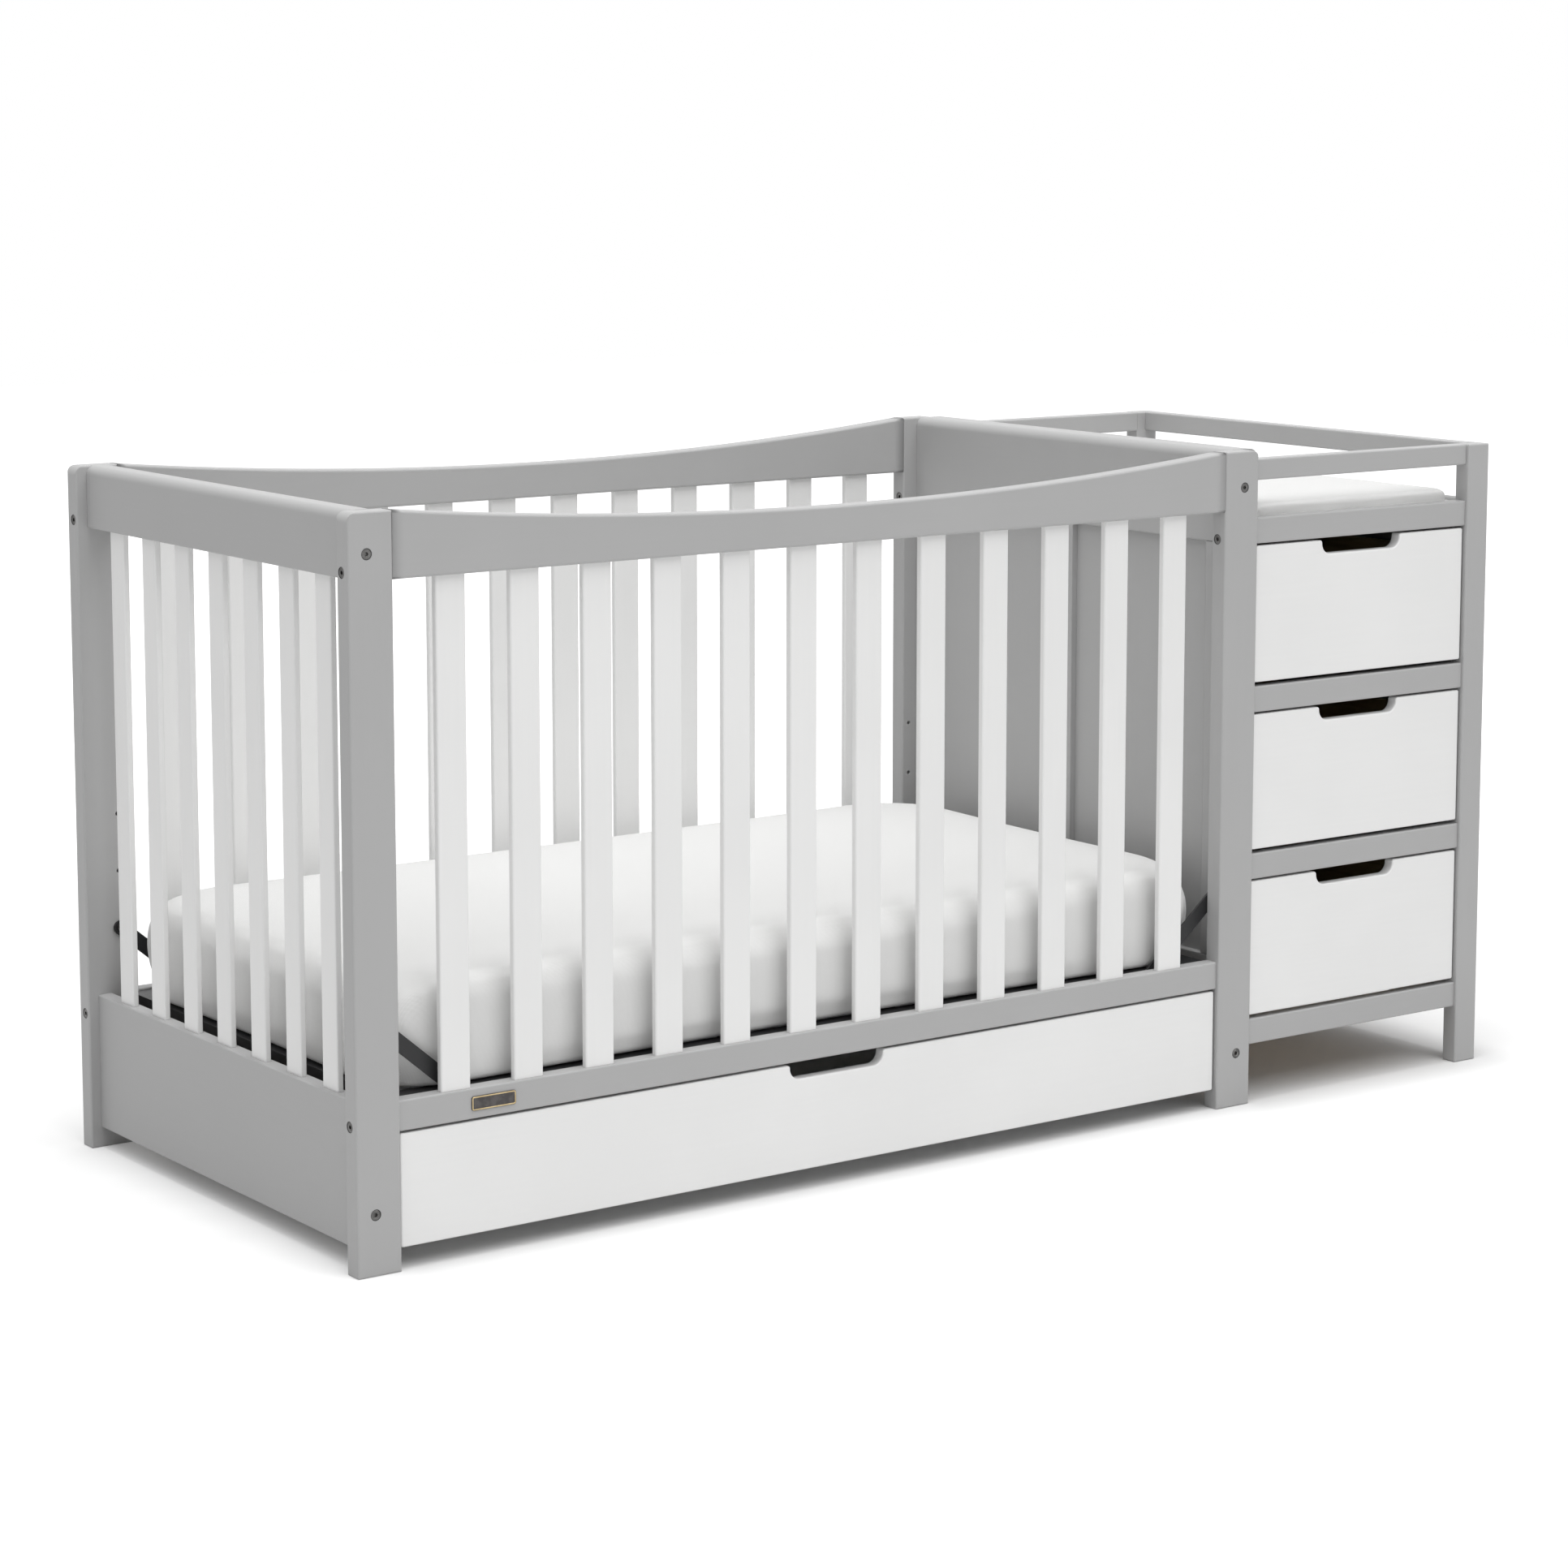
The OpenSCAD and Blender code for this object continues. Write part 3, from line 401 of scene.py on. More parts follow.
plate_brass = bare_metal(
    "brushed brass", (0.62, 0.50, 0.29, 1), (0.50, 0.39, 0.22, 1), BELT_LINES)
dark_brass = bare_metal(
    "darkened brass", (0.115, 0.108, 0.105, 1), (0.085, 0.080, 0.080, 1), BELT_LINES)
zinc = bare_metal("zinc plate", (0.62, 0.61, 0.58, 1), (0.42, 0.41, 0.40, 1), (400, 400, 400))
# The second colour of each cloth is painted shade between its threads
cover = cloth("cotton cover", (0.85, 0.85, 0.845, 1), (0.70, 0.70, 0.69, 1), 900.0)
thread = cloth("sewing thread", (0.80, 0.80, 0.79, 1), (0.62, 0.62, 0.61, 1), 2400.0)

DRAWERS = ("top", "middle", "bottom")


def of_each_drawer(part):
    return [drawer + "_drawer_" + part for drawer in DRAWERS]


FINISHES = [
    (grey["z"], ["post_front_left", "post_back_left", "post_front_right", "post_back_right",
                 "right_stiles", "right_panels", "changer_leg_front", "changer_leg_back",
                 "changer_side_panel", "changer_inner_panel", "changer_back_panel"]),
    (grey["x"], ["front_bottom_rail", "back_bottom_rail", "guard_rail_front", "guard_rail_back",
                 "platform_rail", "upper_divider_rail", "lower_divider_rail",
                 "changer_bottom_rail", "changer_back_rails"]),
    (grey["y"], ["left_top_rail", "left_bottom_board", "right_top_board", "right_bottom_board",
                 "guard_rail_side", "changer_side_frame"]),
    (white["z"], ["front_slats", "back_slats", "left_slats"]),
    (white["y"], ["changing_deck", "crib_drawer_sides"]),
    (white["x"], ["crib_drawer_back", "crib_drawer_bottom"]),
    (birch["y"], ["crib_drawer_runners", "crib_drawer_guides"] + of_each_drawer("sides")),
    (birch["x"], of_each_drawer("back") + of_each_drawer("bottom")),
    (black_steel, ["mattress_support", "hanger_straps"]),
    (white_steel, ["changer_slides"] + of_each_drawer("slides")),
    (black_bolts, ["frame_fasteners"]),
    (dark_brass, ["rail_plate"]),
]


def finish_nodes():
    for material, names in FINISHES:
        for name in names:
            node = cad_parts[name]
            if not node.material_slots:
                node.data.materials.append(material)
            for place in node.material_slots:
                place.material = material


# ---------------------------------------------------------------- making pieces


def set_material(piece, material):
    piece.data.materials.clear()
    piece.data.materials.append(material)


def dress(piece, material, body):
    """Gives a piece its material and the body that it moves with."""
    set_material(piece, material)
    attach(piece, body)
    return piece


def new_piece(name, mesh, material, body):
    piece = bpy.data.objects.new(name, mesh)
    scene.collection.objects.link(piece)
    return dress(piece, material, body)


def shade_smooth(mesh, smooth=True):
    mesh.polygons.foreach_set("use_smooth", [smooth] * len(mesh.polygons))


def mesh_from(name, points, faces, smooth=True):
    mesh = bpy.data.meshes.new(name)
    mesh.from_pydata(points, [], faces)
    shape = bmesh.new()
    shape.from_mesh(mesh)
    bmesh.ops.recalc_face_normals(shape, faces=shape.faces)
    shape.to_mesh(mesh)
    shape.free()
    shade_smooth(mesh, smooth)
    return mesh


def loft(rings, around=False):
    """Faces that join closed rings of the same number of points. The first and the last ring
    are capped, or joined to each other where the rings go around."""
    n, count = len(rings[0]), len(rings)
    points = [p for ring in rings for p in ring]
    faces = [
        (j * n + i, j * n + (i + 1) % n, (j + 1) % count * n + (i + 1) % n, (j + 1) % count * n + i)
        for j in range(count if around else count - 1) for i in range(n)
    ]
    if not around:
        faces.append(tuple(range(n)))
        faces.append(tuple((count - 1) * n + i for i in range(n)))
    return points, faces


def flat_faces_keep(piece):
    """Smooth shading that leaves the piece's large flat faces flat."""
    piece.modifiers.new("even shading", "WEIGHTED_NORMAL").keep_sharp = True


def apply_modifiers(piece):
    """Turns a piece with live modifiers into a plain mesh."""
    evaluated = piece.evaluated_get(bpy.context.evaluated_depsgraph_get())
    mesh = bpy.data.meshes.new_from_object(evaluated)
    piece.modifiers.clear()
    piece.data = mesh


# ---------------------------------------------------------------- what repeats

WHOLE, FINISH, SHAPE = "NodeSocketInt", "NodeSocketMaterial", "NodeSocketGeometry"


def growth(name, takes):
    """An empty geometry tree with named inputs: their sockets, and its end node."""
    tree = bpy.data.node_groups.new(name, "GeometryNodeTree")
    tree.interface.new_socket(name="Geometry", in_out="INPUT", socket_type=SHAPE)
    for label, kind, default in takes:
        socket = tree.interface.new_socket(name=label, in_out="INPUT", socket_type=kind)
        if default is not None:
            socket.default_value = default
    tree.interface.new_socket(name="Geometry", in_out="OUTPUT", socket_type=SHAPE)
    return tree, tree.nodes.new("NodeGroupInput").outputs, tree.nodes.new("NodeGroupOutput")


def finish_growth(tree, end, shape, material):
    """Makes the instances real, gives them their material, and puts them out."""
    real = add(tree, "GeometryNodeRealizeInstances", {"Geometry": shape}).outputs[0]
    done = add(tree, "GeometryNodeSetMaterial", {"Geometry": real, "Material": material}).outputs[0]
    tree.links.new(done, end.inputs[0])
    return tree


def any_turn(tree, seed, most):
    """A different number for each point, from 0 to most."""
    values = {3: most, "Seed": seed}
    return add(tree, "FunctionNodeRandomValue", values, data_type="FLOAT").outputs[1]


def turn_along(tree, way, axis):
    """The turn that brings one of a shape's axes along way."""
    node = add(tree, "FunctionNodeAlignRotationToVector", {"Vector": way}, axis=axis)
    return node.outputs[0]


def facing(tree):
    """The turn that brings Z along the way that each point was given."""
    way = add(tree, "GeometryNodeInputNamedAttribute", {"Name": "facing"}, data_type="FLOAT_VECTOR")
    return turn_along(tree, way.outputs[0], "Z")


def put_on(tree, points, shape, **how):
    """The shape on each point. How it lies is named as the node's own inputs are."""
    values = {"Points": points, "Instance": shape, **how}
    return add(tree, "GeometryNodeInstanceOnPoints", values).outputs[0]


def lift(tree, shape, height):
    """The shape moved along Z."""
    rise = add(tree, "ShaderNodeCombineXYZ", {"Z": height}).outputs[0]
    return add(tree, "GeometryNodeTransform", {"Geometry": shape, "Translation": rise}).outputs[0]


def circle(tree, resolution, radius):
    values = {"Resolution": resolution, "Radius": radius}
    return add(tree, "GeometryNodeCurvePrimitiveCircle", values).outputs[0]


def sweep(tree, line, section, **how):
    """The section drawn along the line."""
    values = {"Curve": line, "Profile Curve": section, **how}
    return add(tree, "GeometryNodeCurveToMesh", values).outputs[0]


def extrude(tree, mesh, height, **how):
    values = {"Mesh": mesh, "Offset Scale": height, **how}
    return add(tree, "GeometryNodeExtrudeMesh", values).outputs


def make_screw_heads():
    """A domed head with a crossed recess on each point, facing the way that the point gives."""
    tree, given, end = growth("screw heads", [
        ("Diameter", NUMBER, 0.008), ("Height", NUMBER, 0.0018),
        ("Seed", WHOLE, 3), ("Material", FINISH, None),
    ])
    radius = times(tree, given["Diameter"], 0.5)
    disc = add(tree, "GeometryNodeMeshCylinder", {
        "Vertices": 16, "Radius": radius, "Depth": times(tree, given["Height"], 0.8),
    }, fill_type="NGON").outputs
    dome = extrude(tree, disc["Mesh"], times(tree, given["Height"], 0.4), Selection=disc["Top"])
    head = add(tree, "GeometryNodeScaleElements", {
        "Geometry": dome["Mesh"], "Selection": dome["Top"], "Scale": 0.72,
    }).outputs[0]
    cross = add(tree, "GeometryNodeCurveStar", {
        "Points": 4, "Inner Radius": times(tree, radius, 0.16),
        "Outer Radius": times(tree, radius, 0.58),
    }).outputs[0]
    cross = add(tree, "GeometryNodeFillCurve", {"Curve": cross}, mode="NGONS").outputs[0]
    lid = extrude(tree, cross, times(tree, given["Height"], 1.5))[0]
    base = add(tree, "GeometryNodeFlipFaces", {"Mesh": cross}).outputs[0]
    both = add(tree, "GeometryNodeJoinGeometry")
    tree.links.new(lid, both.inputs[0])
    tree.links.new(base, both.inputs[0])
    bit = add(tree, "GeometryNodeMergeByDistance", {
        "Geometry": both.outputs[0], "Distance": 1e-6,
    }).outputs[0]
    bit = lift(tree, bit, times(tree, given["Height"], 0.2))
    cut = add(tree, "GeometryNodeMeshBoolean", {
        "Mesh 1": head, "Mesh 2": bit,
    }, operation="DIFFERENCE").outputs[0]
    spin = add(tree, "FunctionNodeAxisAngleToRotation", {
        "Axis": (0, 0, 1), "Angle": any_turn(tree, given["Seed"], math.pi),
    }).outputs[0]
    turned = add(tree, "FunctionNodeRotateRotation", {
        "Rotation": facing(tree), "Rotate By": spin,
    }, rotation_space="LOCAL").outputs[0]
    placed = put_on(tree, given["Geometry"], cut, Rotation=turned)
    return finish_growth(tree, end, placed, given["Material"])


def make_weld_beads():
    """A small uneven lump of weld on each point."""
    tree, given, end = growth("weld beads", [
        ("Radius", NUMBER, 0.003), ("Seed", WHOLE, 8), ("Material", FINISH, None),
    ])
    bead = add(tree, "GeometryNodeMeshUVSphere", {
        "Segments": 8, "Rings": 5, "Radius": given["Radius"],
    }).outputs[0]
    size = plus(tree, any_turn(tree, given["Seed"], 0.35), 0.8)
    placed = put_on(tree, given["Geometry"], bead, Scale=size)
    return finish_growth(tree, end, placed, given["Material"])


def make_painted_shade_rings():
    """A flat-sided ring round each point, facing the way that the point gives, just under it:
    painted shade, a thin dark ring that stands for the shadow in a counterbore's wall.
    """
    tree, given, end = growth("bolt collars", [
        ("Radius", NUMBER, 0.007), ("Wall", NUMBER, 0.0006), ("Height", NUMBER, 0.002),
        ("Drop", NUMBER, 0.0004), ("Material", FINISH, None),
    ])
    middle = minus(tree, given["Radius"], times(tree, given["Wall"], 0.5))
    section = add(tree, "GeometryNodeCurvePrimitiveQuadrilateral", {
        "Width": given["Wall"], "Height": given["Height"],
    }).outputs[0]
    ring = sweep(tree, circle(tree, 28, middle), section)
    depth = plus(tree, given["Drop"], times(tree, given["Height"], 0.5))
    ring = lift(tree, ring, times(tree, depth, -1.0))
    placed = put_on(tree, given["Geometry"], ring, Rotation=facing(tree))
    return finish_growth(tree, end, placed, given["Material"])


def make_sewn_ridge():
    """The raised fold of a seam along each line."""
    tree, given, end = growth("sewn ridge", [
        ("Radius", NUMBER, 0.001), ("Material", FINISH, None),
    ])
    line = add(tree, "GeometryNodeMeshToCurve", {"Mesh": given["Geometry"]}).outputs[0]
    fold = sweep(tree, line, circle(tree, 8, given["Radius"]), **{"Fill Caps": True})
    return finish_growth(tree, end, fold, given["Material"])


def make_stitches():
    """Short stitches laid end to end along each line, with a small gap between them."""
    tree, given, end = growth("stitches", [
        ("Pitch", NUMBER, 0.004), ("Length", NUMBER, 0.003), ("Thickness", NUMBER, 0.0006),
        ("Material", FINISH, None),
    ])
    line = add(tree, "GeometryNodeMeshToCurve", {"Mesh": given["Geometry"]}).outputs[0]
    spaced = add(tree, "GeometryNodeResampleCurve", {
        "Curve": line, "Length": given["Pitch"],
    }, mode="LENGTH").outputs[0]
    stitch = add(tree, "GeometryNodeMeshUVSphere", {
        "Segments": 6, "Rings": 4, "Radius": 0.5,
    }).outputs[0]
    size = add(tree, "ShaderNodeCombineXYZ", {
        "X": given["Length"], "Y": given["Thickness"], "Z": given["Thickness"],
    }).outputs[0]
    turned = turn_along(tree, add(tree, "GeometryNodeInputTangent").outputs[0], "X")
    placed = put_on(tree, spaced, stitch, Rotation=turned, Scale=size)
    return finish_growth(tree, end, placed, given["Material"])


screw_heads = make_screw_heads()
weld_beads = make_weld_beads()
# Rings that paint the shade in the bolts' counterbores
painted_shade_rings = make_painted_shade_rings()
sewn_ridge = make_sewn_ridge()
stitches = make_stitches()


def grow(name, tree, values, places, body, ways=(), lines=()):
    """Runs a geometry tree on points or lines, and keeps the plain mesh that it makes."""
    start = bpy.data.meshes.new(name)
    start.from_pydata(places, lines, [])
    if ways:
        faced = start.attributes.new("facing", "FLOAT_VECTOR", "POINT")
        faced.data.foreach_set("vector", [part for way in ways for part in way])
    piece = bpy.data.objects.new(name, start)
    scene.collection.objects.link(piece)
    grown = piece.modifiers.new("growth", "NODES")
    grown.node_group = tree
    for socket in tree.interface.items_tree:
        if socket.in_out == "INPUT" and socket.name in values:
            grown[socket.identifier] = values[socket.name]
    apply_modifiers(piece)
    piece.data.polygons.foreach_set("material_index", [0] * len(piece.data.polygons))
    return dress(piece, values["Material"], body)


# ---------------------------------------------------------------- dipped top rails

RAIL_EDGE = 0.0035
RAIL_EDGE_STEPS = 6
RAIL_DIP = 0.0345
RAIL_STEPS = 72


def arc_points(x, z, radius, start, end, steps):
    """Points on an arc round x, z: the angles are in degrees."""
    turns = [math.radians(start + (end - start) * k / steps) for k in range(steps + 1)]
    return [(x + radius * math.cos(turn), z + radius * math.sin(turn)) for turn in turns]


def rounded_rectangle(left, right, bottom, top, radius, steps):
    """Points round a rectangle with rounded corners, from its lower right corner on."""
    ring = []
    for x, z, start in (
        (right - radius, bottom + radius, -90), (right - radius, top - radius, 0),
        (left + radius, top - radius, 90), (left + radius, bottom + radius, 180),
    ):
        ring += arc_points(x, z, radius, start, start + 90, steps)
    return ring


def make_top_rail(node):
    low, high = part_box(node)
    half = (high.x - low.x) / 2
    middle = (high.x + low.x) / 2
    arc = (half * half + RAIL_DIP * RAIL_DIP) / (2 * RAIL_DIP)
    rings = []
    for k in range(RAIL_STEPS + 1):
        x = -half + 2 * half * k / RAIL_STEPS
        top = high.z - RAIL_DIP + arc - math.sqrt(arc * arc - x * x)
        section = rounded_rectangle(
            0.0, high.y - low.y, low.z, top, RAIL_EDGE, RAIL_EDGE_STEPS)
        rings.append([(middle + x, low.y + y, z) for y, z in section])
    mesh = mesh_from(node, *loft(rings))
    piece = new_piece(node + "_dressed", mesh, grey["x"], "frame")
    flat_faces_keep(piece)
    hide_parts(node)


# ---------------------------------------------------------------- drawer fronts

FRONT_EDGE, FRONT_EDGE_STEPS = 0.0024, 5
FRONT_CORNER = 0.003
NOTCH_WIDTH, NOTCH_DEPTH = 0.152, 0.020
NOTCH_CORNER, NOTCH_EASE = 0.0155, 0.0042
SMALL_ARC_STEPS, LARGE_ARC_STEPS = 6, 12


def front_outline(length, height, inset):
    """A drawer front seen from the front, drawn in by inset, with the notch in its top edge."""
    corner, ease, hollow = FRONT_CORNER - inset, NOTCH_EASE - inset, NOTCH_CORNER + inset
    end, top = length / 2 - FRONT_CORNER, height - FRONT_CORNER
    lip = NOTCH_WIDTH / 2 + NOTCH_EASE
    well = NOTCH_WIDTH / 2 - NOTCH_CORNER
    ease_z = height - NOTCH_EASE
    well_z = height - NOTCH_DEPTH + NOTCH_CORNER
    right = [
        *arc_points(end, FRONT_CORNER, corner, -90, 0, SMALL_ARC_STEPS),
        *arc_points(end, top, corner, 0, 90, SMALL_ARC_STEPS),
        *arc_points(lip, ease_z, ease, 90, 180, SMALL_ARC_STEPS),
        *arc_points(well, well_z, hollow, 0, -90, LARGE_ARC_STEPS),
    ]
    return right + [(-x, z) for x, z in reversed(right)]


def make_drawer_front(node, body):
    low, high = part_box(node)
    length, height = high.x - low.x, high.z - low.z
    middle = (low.x + high.x) / 2
    rings = []
    for k in range(FRONT_EDGE_STEPS + 1):
        turn = math.radians(90 * k / FRONT_EDGE_STEPS)
        y = low.y + FRONT_EDGE * (1 - math.cos(turn))
        outline = front_outline(length, height, FRONT_EDGE * (1 - math.sin(turn)))
        rings.append([(middle + x, y, low.z + z) for x, z in outline])
    backs = [[(x, low.y + high.y - y, z) for x, y, z in ring] for ring in reversed(rings)]
    mesh = mesh_from(node, *loft(rings + backs))
    piece = new_piece(node + "_dressed", mesh, white["x"], body)
    flat_faces_keep(piece)
    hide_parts(node)


# ---------------------------------------------------------------- plate on the bottom rail

PLATE_CORNER, LEAST_CORNER, PLATE_CORNER_STEPS = 0.003, 0.0008, 8
RIM_IN, RIM_WIDTH, RIM_PROUD, RIM_SUNK = 0.0004, 0.0016, 0.0005, 0.0002
RIM_EASE_ACROSS, RIM_EASE_BACK, RIM_CROWN = 0.0003, 0.0002, 0.0001


def plate_outline(low, high, inset, y):
    """The plate seen from the front, drawn in by inset."""
    radius = max(PLATE_CORNER - inset, LEAST_CORNER)
    ring = rounded_rectangle(
        low.x + inset, high.x - inset, low.z + inset, high.z - inset, radius, PLATE_CORNER_STEPS)
    return [(x, y, z) for x, z in ring]


def make_plate_rim():
    """The raised bright border of the plain dark plate."""
    low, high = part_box("rail_plate")
    back, front = low.y + RIM_SUNK, low.y - RIM_PROUD
    outer, inner = RIM_IN, RIM_IN + RIM_WIDTH
    rings = [plate_outline(low, high, inset, y) for inset, y in (
        (outer, back),
        (outer, front + RIM_EASE_BACK),
        (outer + RIM_EASE_ACROSS, front),
        (RIM_IN + RIM_WIDTH / 2, front - RIM_CROWN),
        (inner - RIM_EASE_ACROSS, front),
        (inner, front + RIM_EASE_BACK),
        (inner, back),
    )]
    mesh = mesh_from("rail_plate_rim", *loft(rings, around=True))
    new_piece("rail_plate_rim", mesh, plate_brass, "frame")


# ---------------------------------------------------------------- mattress and pad

PRESSURE, LAST_FRAME = 4.0, 20
WALL_GAP = 0.0004
# A face moves out once its normal has this much of a level part, and moves as far as an
# upright face does once it has a third
LEAST_LEAN, LEAN_GAIN = 0.05, 3
FOOT_CURVE = 1.2


def joined_copy(node, name):
    """A copy of a CAD node's mesh with its loose triangles joined."""
    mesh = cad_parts[node].data.copy()
    mesh.name = name
    shape = bmesh.new()
    shape.from_mesh(mesh)
    bmesh.ops.remove_doubles(shape, verts=shape.verts, dist=1e-5)
    bmesh.ops.recalc_face_normals(shape, faces=shape.faces)
    shape.to_mesh(mesh)
    shape.free()
    return mesh


def even_copy(node, name, centre, half, shrink, voxel):
    """A CAD cushion drawn in by shrink on the three axes, with small even faces."""
    piece = bpy.data.objects.new(name, joined_copy(node, name))
    scene.collection.objects.link(piece)
    for v in piece.data.vertices:
        v.co = Vector(
            centre[i] + (v.co[i] - centre[i]) * (half[i] - shrink[i]) / half[i] for i in range(3)
        )
    remesh = piece.modifiers.new("even faces", "REMESH")
    remesh.mode = "VOXEL"
    remesh.voxel_size = voxel
    apply_modifiers(piece)
    return piece


def hold_core(piece, centre, half, core):
    """The firm core that the cover hardly leaves: it starts and is full so far from the sides."""
    firm = piece.vertex_groups.new(name="firm core")
    for v in piece.data.vertices:
        room = min(half[0] - abs(v.co.x - centre[0]), half[1] - abs(v.co.y - centre[1]))
        weight = min(max((room - core[0]) / (core[1] - core[0]), 0.0), 1.0)
        firm.add([v.index], weight, "REPLACE")


def blow_up(piece):
    """Fills the cover as cloth, pinned to its firm core."""
    filling = piece.modifiers.new("filling", "CLOTH")
    settings = filling.settings
    settings.quality = 5
    settings.mass = 0.3
    settings.tension_stiffness = settings.compression_stiffness = 25
    settings.shear_stiffness = 20
    settings.bending_stiffness = 2.0
    settings.use_pressure = True
    settings.uniform_pressure_force = PRESSURE
    settings.effector_weights.gravity = 0
    settings.vertex_group_mass = "firm core"
    settings.pin_stiffness = 1.0
    filling.collision_settings.use_collision = False
    scene.frame_start, scene.frame_end = 1, LAST_FRAME
    filling.point_cache.frame_start, filling.point_cache.frame_end = 1, LAST_FRAME
    for step in range(1, LAST_FRAME + 1):
        scene.frame_set(step)
    apply_modifiers(piece)
    scene.frame_set(1)


def settle(piece, floor, foot):
    """Presses a cushion's lowest edge out and flat, as its weight does: foot is how high this
    reaches and how far out it goes."""
    reach, out = foot
    piece.data.update()
    for v in piece.data.vertices:
        rise = v.co.z - floor
        if rise < reach:
            aside = Vector((v.normal.x, v.normal.y, 0))
            if aside.length > LEAST_LEAN:
                share = min(2 - 2 * rise / reach, 1)
                v.co += aside.normalized() * min(aside.length * LEAN_GAIN, 1) * share * out
            v.co.z = floor + rise * (max(rise, 0) / reach) ** FOOT_CURVE


def stuffed(node, name, shrink, voxel, cap, core, foot):
    """A foam filled cover: the CAD shape drawn in, its sides blown up by cap at most round a
    firm core, its foot pressed flat, and all of it held to its room."""
    low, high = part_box(node)
    centre = (low + high) / 2
    half = (high - low) / 2
    piece = even_copy(node, name, centre, half, shrink, voxel)
    before = [v.co.copy() for v in piece.data.vertices]
    hold_core(piece, centre, half, core)
    blow_up(piece)
    for v, start in zip(piece.data.vertices, before):
        move = v.co - start
        if move.length > cap:
            move *= cap / move.length
        v.co = start + move
    settle(piece, low.z, foot)
    for v in piece.data.vertices:
        v.co = Vector(min(max(v.co[i], low[i] + WALL_GAP), high[i] - WALL_GAP) for i in range(3))
    finer = piece.modifiers.new("finer", "SUBSURF")
    finer.levels = finer.render_levels = 1
    apply_modifiers(piece)
    piece.vertex_groups.clear()
    set_material(piece, cover)
    shade_smooth(piece.data)
    return piece


def make_mattress():
    piece = stuffed(
        "mattress", "mattress_dressed", shrink=(0.002, 0.002, 0.0006), voxel=0.010, cap=0.006,
        core=(0.0, 0.06), foot=(0.016, 0.006))
    sew_corners(piece)
    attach(piece, "mattress_body")
    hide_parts("mattress")


def make_pad():
    piece = stuffed(
        "changing_pad", "changing_pad_dressed", shrink=(0.003, 0.003, 0.001), voxel=0.005,
        cap=0.005, core=(0.0, 0.045), foot=(0.009, 0.002))
    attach(piece, "pad_body")
    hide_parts("changing_pad")


# ---------------------------------------------------------------- seams of the mattress cover

SEAM_CENTRE = 0.11
SEAM_STEPS = 40
SEAM_FOOT, SEAM_SHORT = 0.008, 0.022
SEAM_FROM = 0.3
STITCH_LEAN = 0.05


def corner_lines(piece, lean):
    """Lines down the cover's four corners on its surface: lean turns them off the middle."""
    low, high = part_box("mattress")
    middle, half = (low + high) / 2, (high - low) / 2
    places, lines = [], []
    for sx, sy in ((-1, -1), (1, -1), (1, 1), (-1, 1)):
        turn = math.atan2(sy, sx) + lean
        out = Vector((math.cos(turn), math.sin(turn), 0))
        for k in range(SEAM_STEPS + 1):
            centre = Vector((
                middle.x + sx * (half.x - SEAM_CENTRE),
                middle.y + sy * (half.y - SEAM_CENTRE),
                low.z + SEAM_FOOT + (high.z - low.z - SEAM_SHORT) * k / SEAM_STEPS,
            ))
            places.append(piece.ray_cast(centre + out * SEAM_FROM, -out)[1])
            if k:
                lines.append((len(places) - 2, len(places) - 1))
    return places, lines


def sew_corners(piece):
    places, lines = corner_lines(piece, 0.0)
    grow("mattress_corner_seams", sewn_ridge, {"Radius": 0.0012, "Material": cover},
         places, "mattress_body", lines=lines)
    places, lines = [], []
    for lean in (-STITCH_LEAN, STITCH_LEAN):
        more, joins = corner_lines(piece, lean)
        lines += [(a + len(places), b + len(places)) for a, b in joins]
        places += more
    grow("mattress_corner_stitches", stitches,
         {"Pitch": 0.0045, "Length": 0.0034, "Thickness": 0.0009, "Material": thread},
         places, "mattress_body", lines=lines)


# ---------------------------------------------------------------- screws, bolts and welds

SLIDE_STEEL, SLIDE_DEPTH = 0.0012, 0.0125
SLIDE_SCREWS_ALONG, MOVING_SCREWS_BACK = (0.12, 0.38, 0.64, 0.9), 0.02
SLIDE_SCREW, BOX_SCREW = 0.0075, 0.008
BOX_BOARD = 0.012
BOX_SCREWS_UP = {
    "crib": (0.25, 0.8), "top": (0.45, 0.85), "middle": (0.45, 0.85), "bottom": (0.45, 0.85),
}
RUNNER_SCREWS, RUNNER_SCREWS_IN = 6, 0.03
OUTWARD, INWARD = [(-1, 0, 0), (1, 0, 0)], [(1, 0, 0), (-1, 0, 0)]


def both_sides(low, high, inset, y, z):
    """The same place on the left and the right side of a box, drawn in by inset."""
    return [(low.x + inset, y, z), (high.x - inset, y, z)]


def screw(diameter, height, seed):
    return {"Diameter": diameter, "Height": height, "Seed": seed, "Material": zinc}


def make_slide_screws():
    """Flush screws that hold the slides to the changer's walls, and to its drawers."""
    low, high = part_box("changer_slides")
    places = []
    for drawer in DRAWERS:
        own_low, own_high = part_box(drawer + "_drawer_slides")
        z = (own_low.z + own_high.z) / 2
        held = []
        for share in SLIDE_SCREWS_ALONG:
            y = low.y + (high.y - low.y) * share
            places += both_sides(low, high, SLIDE_STEEL, y, z)
            held += both_sides(low, high, SLIDE_DEPTH - SLIDE_STEEL, y - MOVING_SCREWS_BACK, z)
        grow(drawer + "_drawer_slide_screws", screw_heads, screw(SLIDE_SCREW, 0.0009, 5),
             held, drawer + "_drawer", ways=OUTWARD * len(SLIDE_SCREWS_ALONG))
    grow("wall_slide_screws", screw_heads, screw(SLIDE_SCREW, 0.0006, 4),
         places, "frame", ways=INWARD * (len(places) // 2))


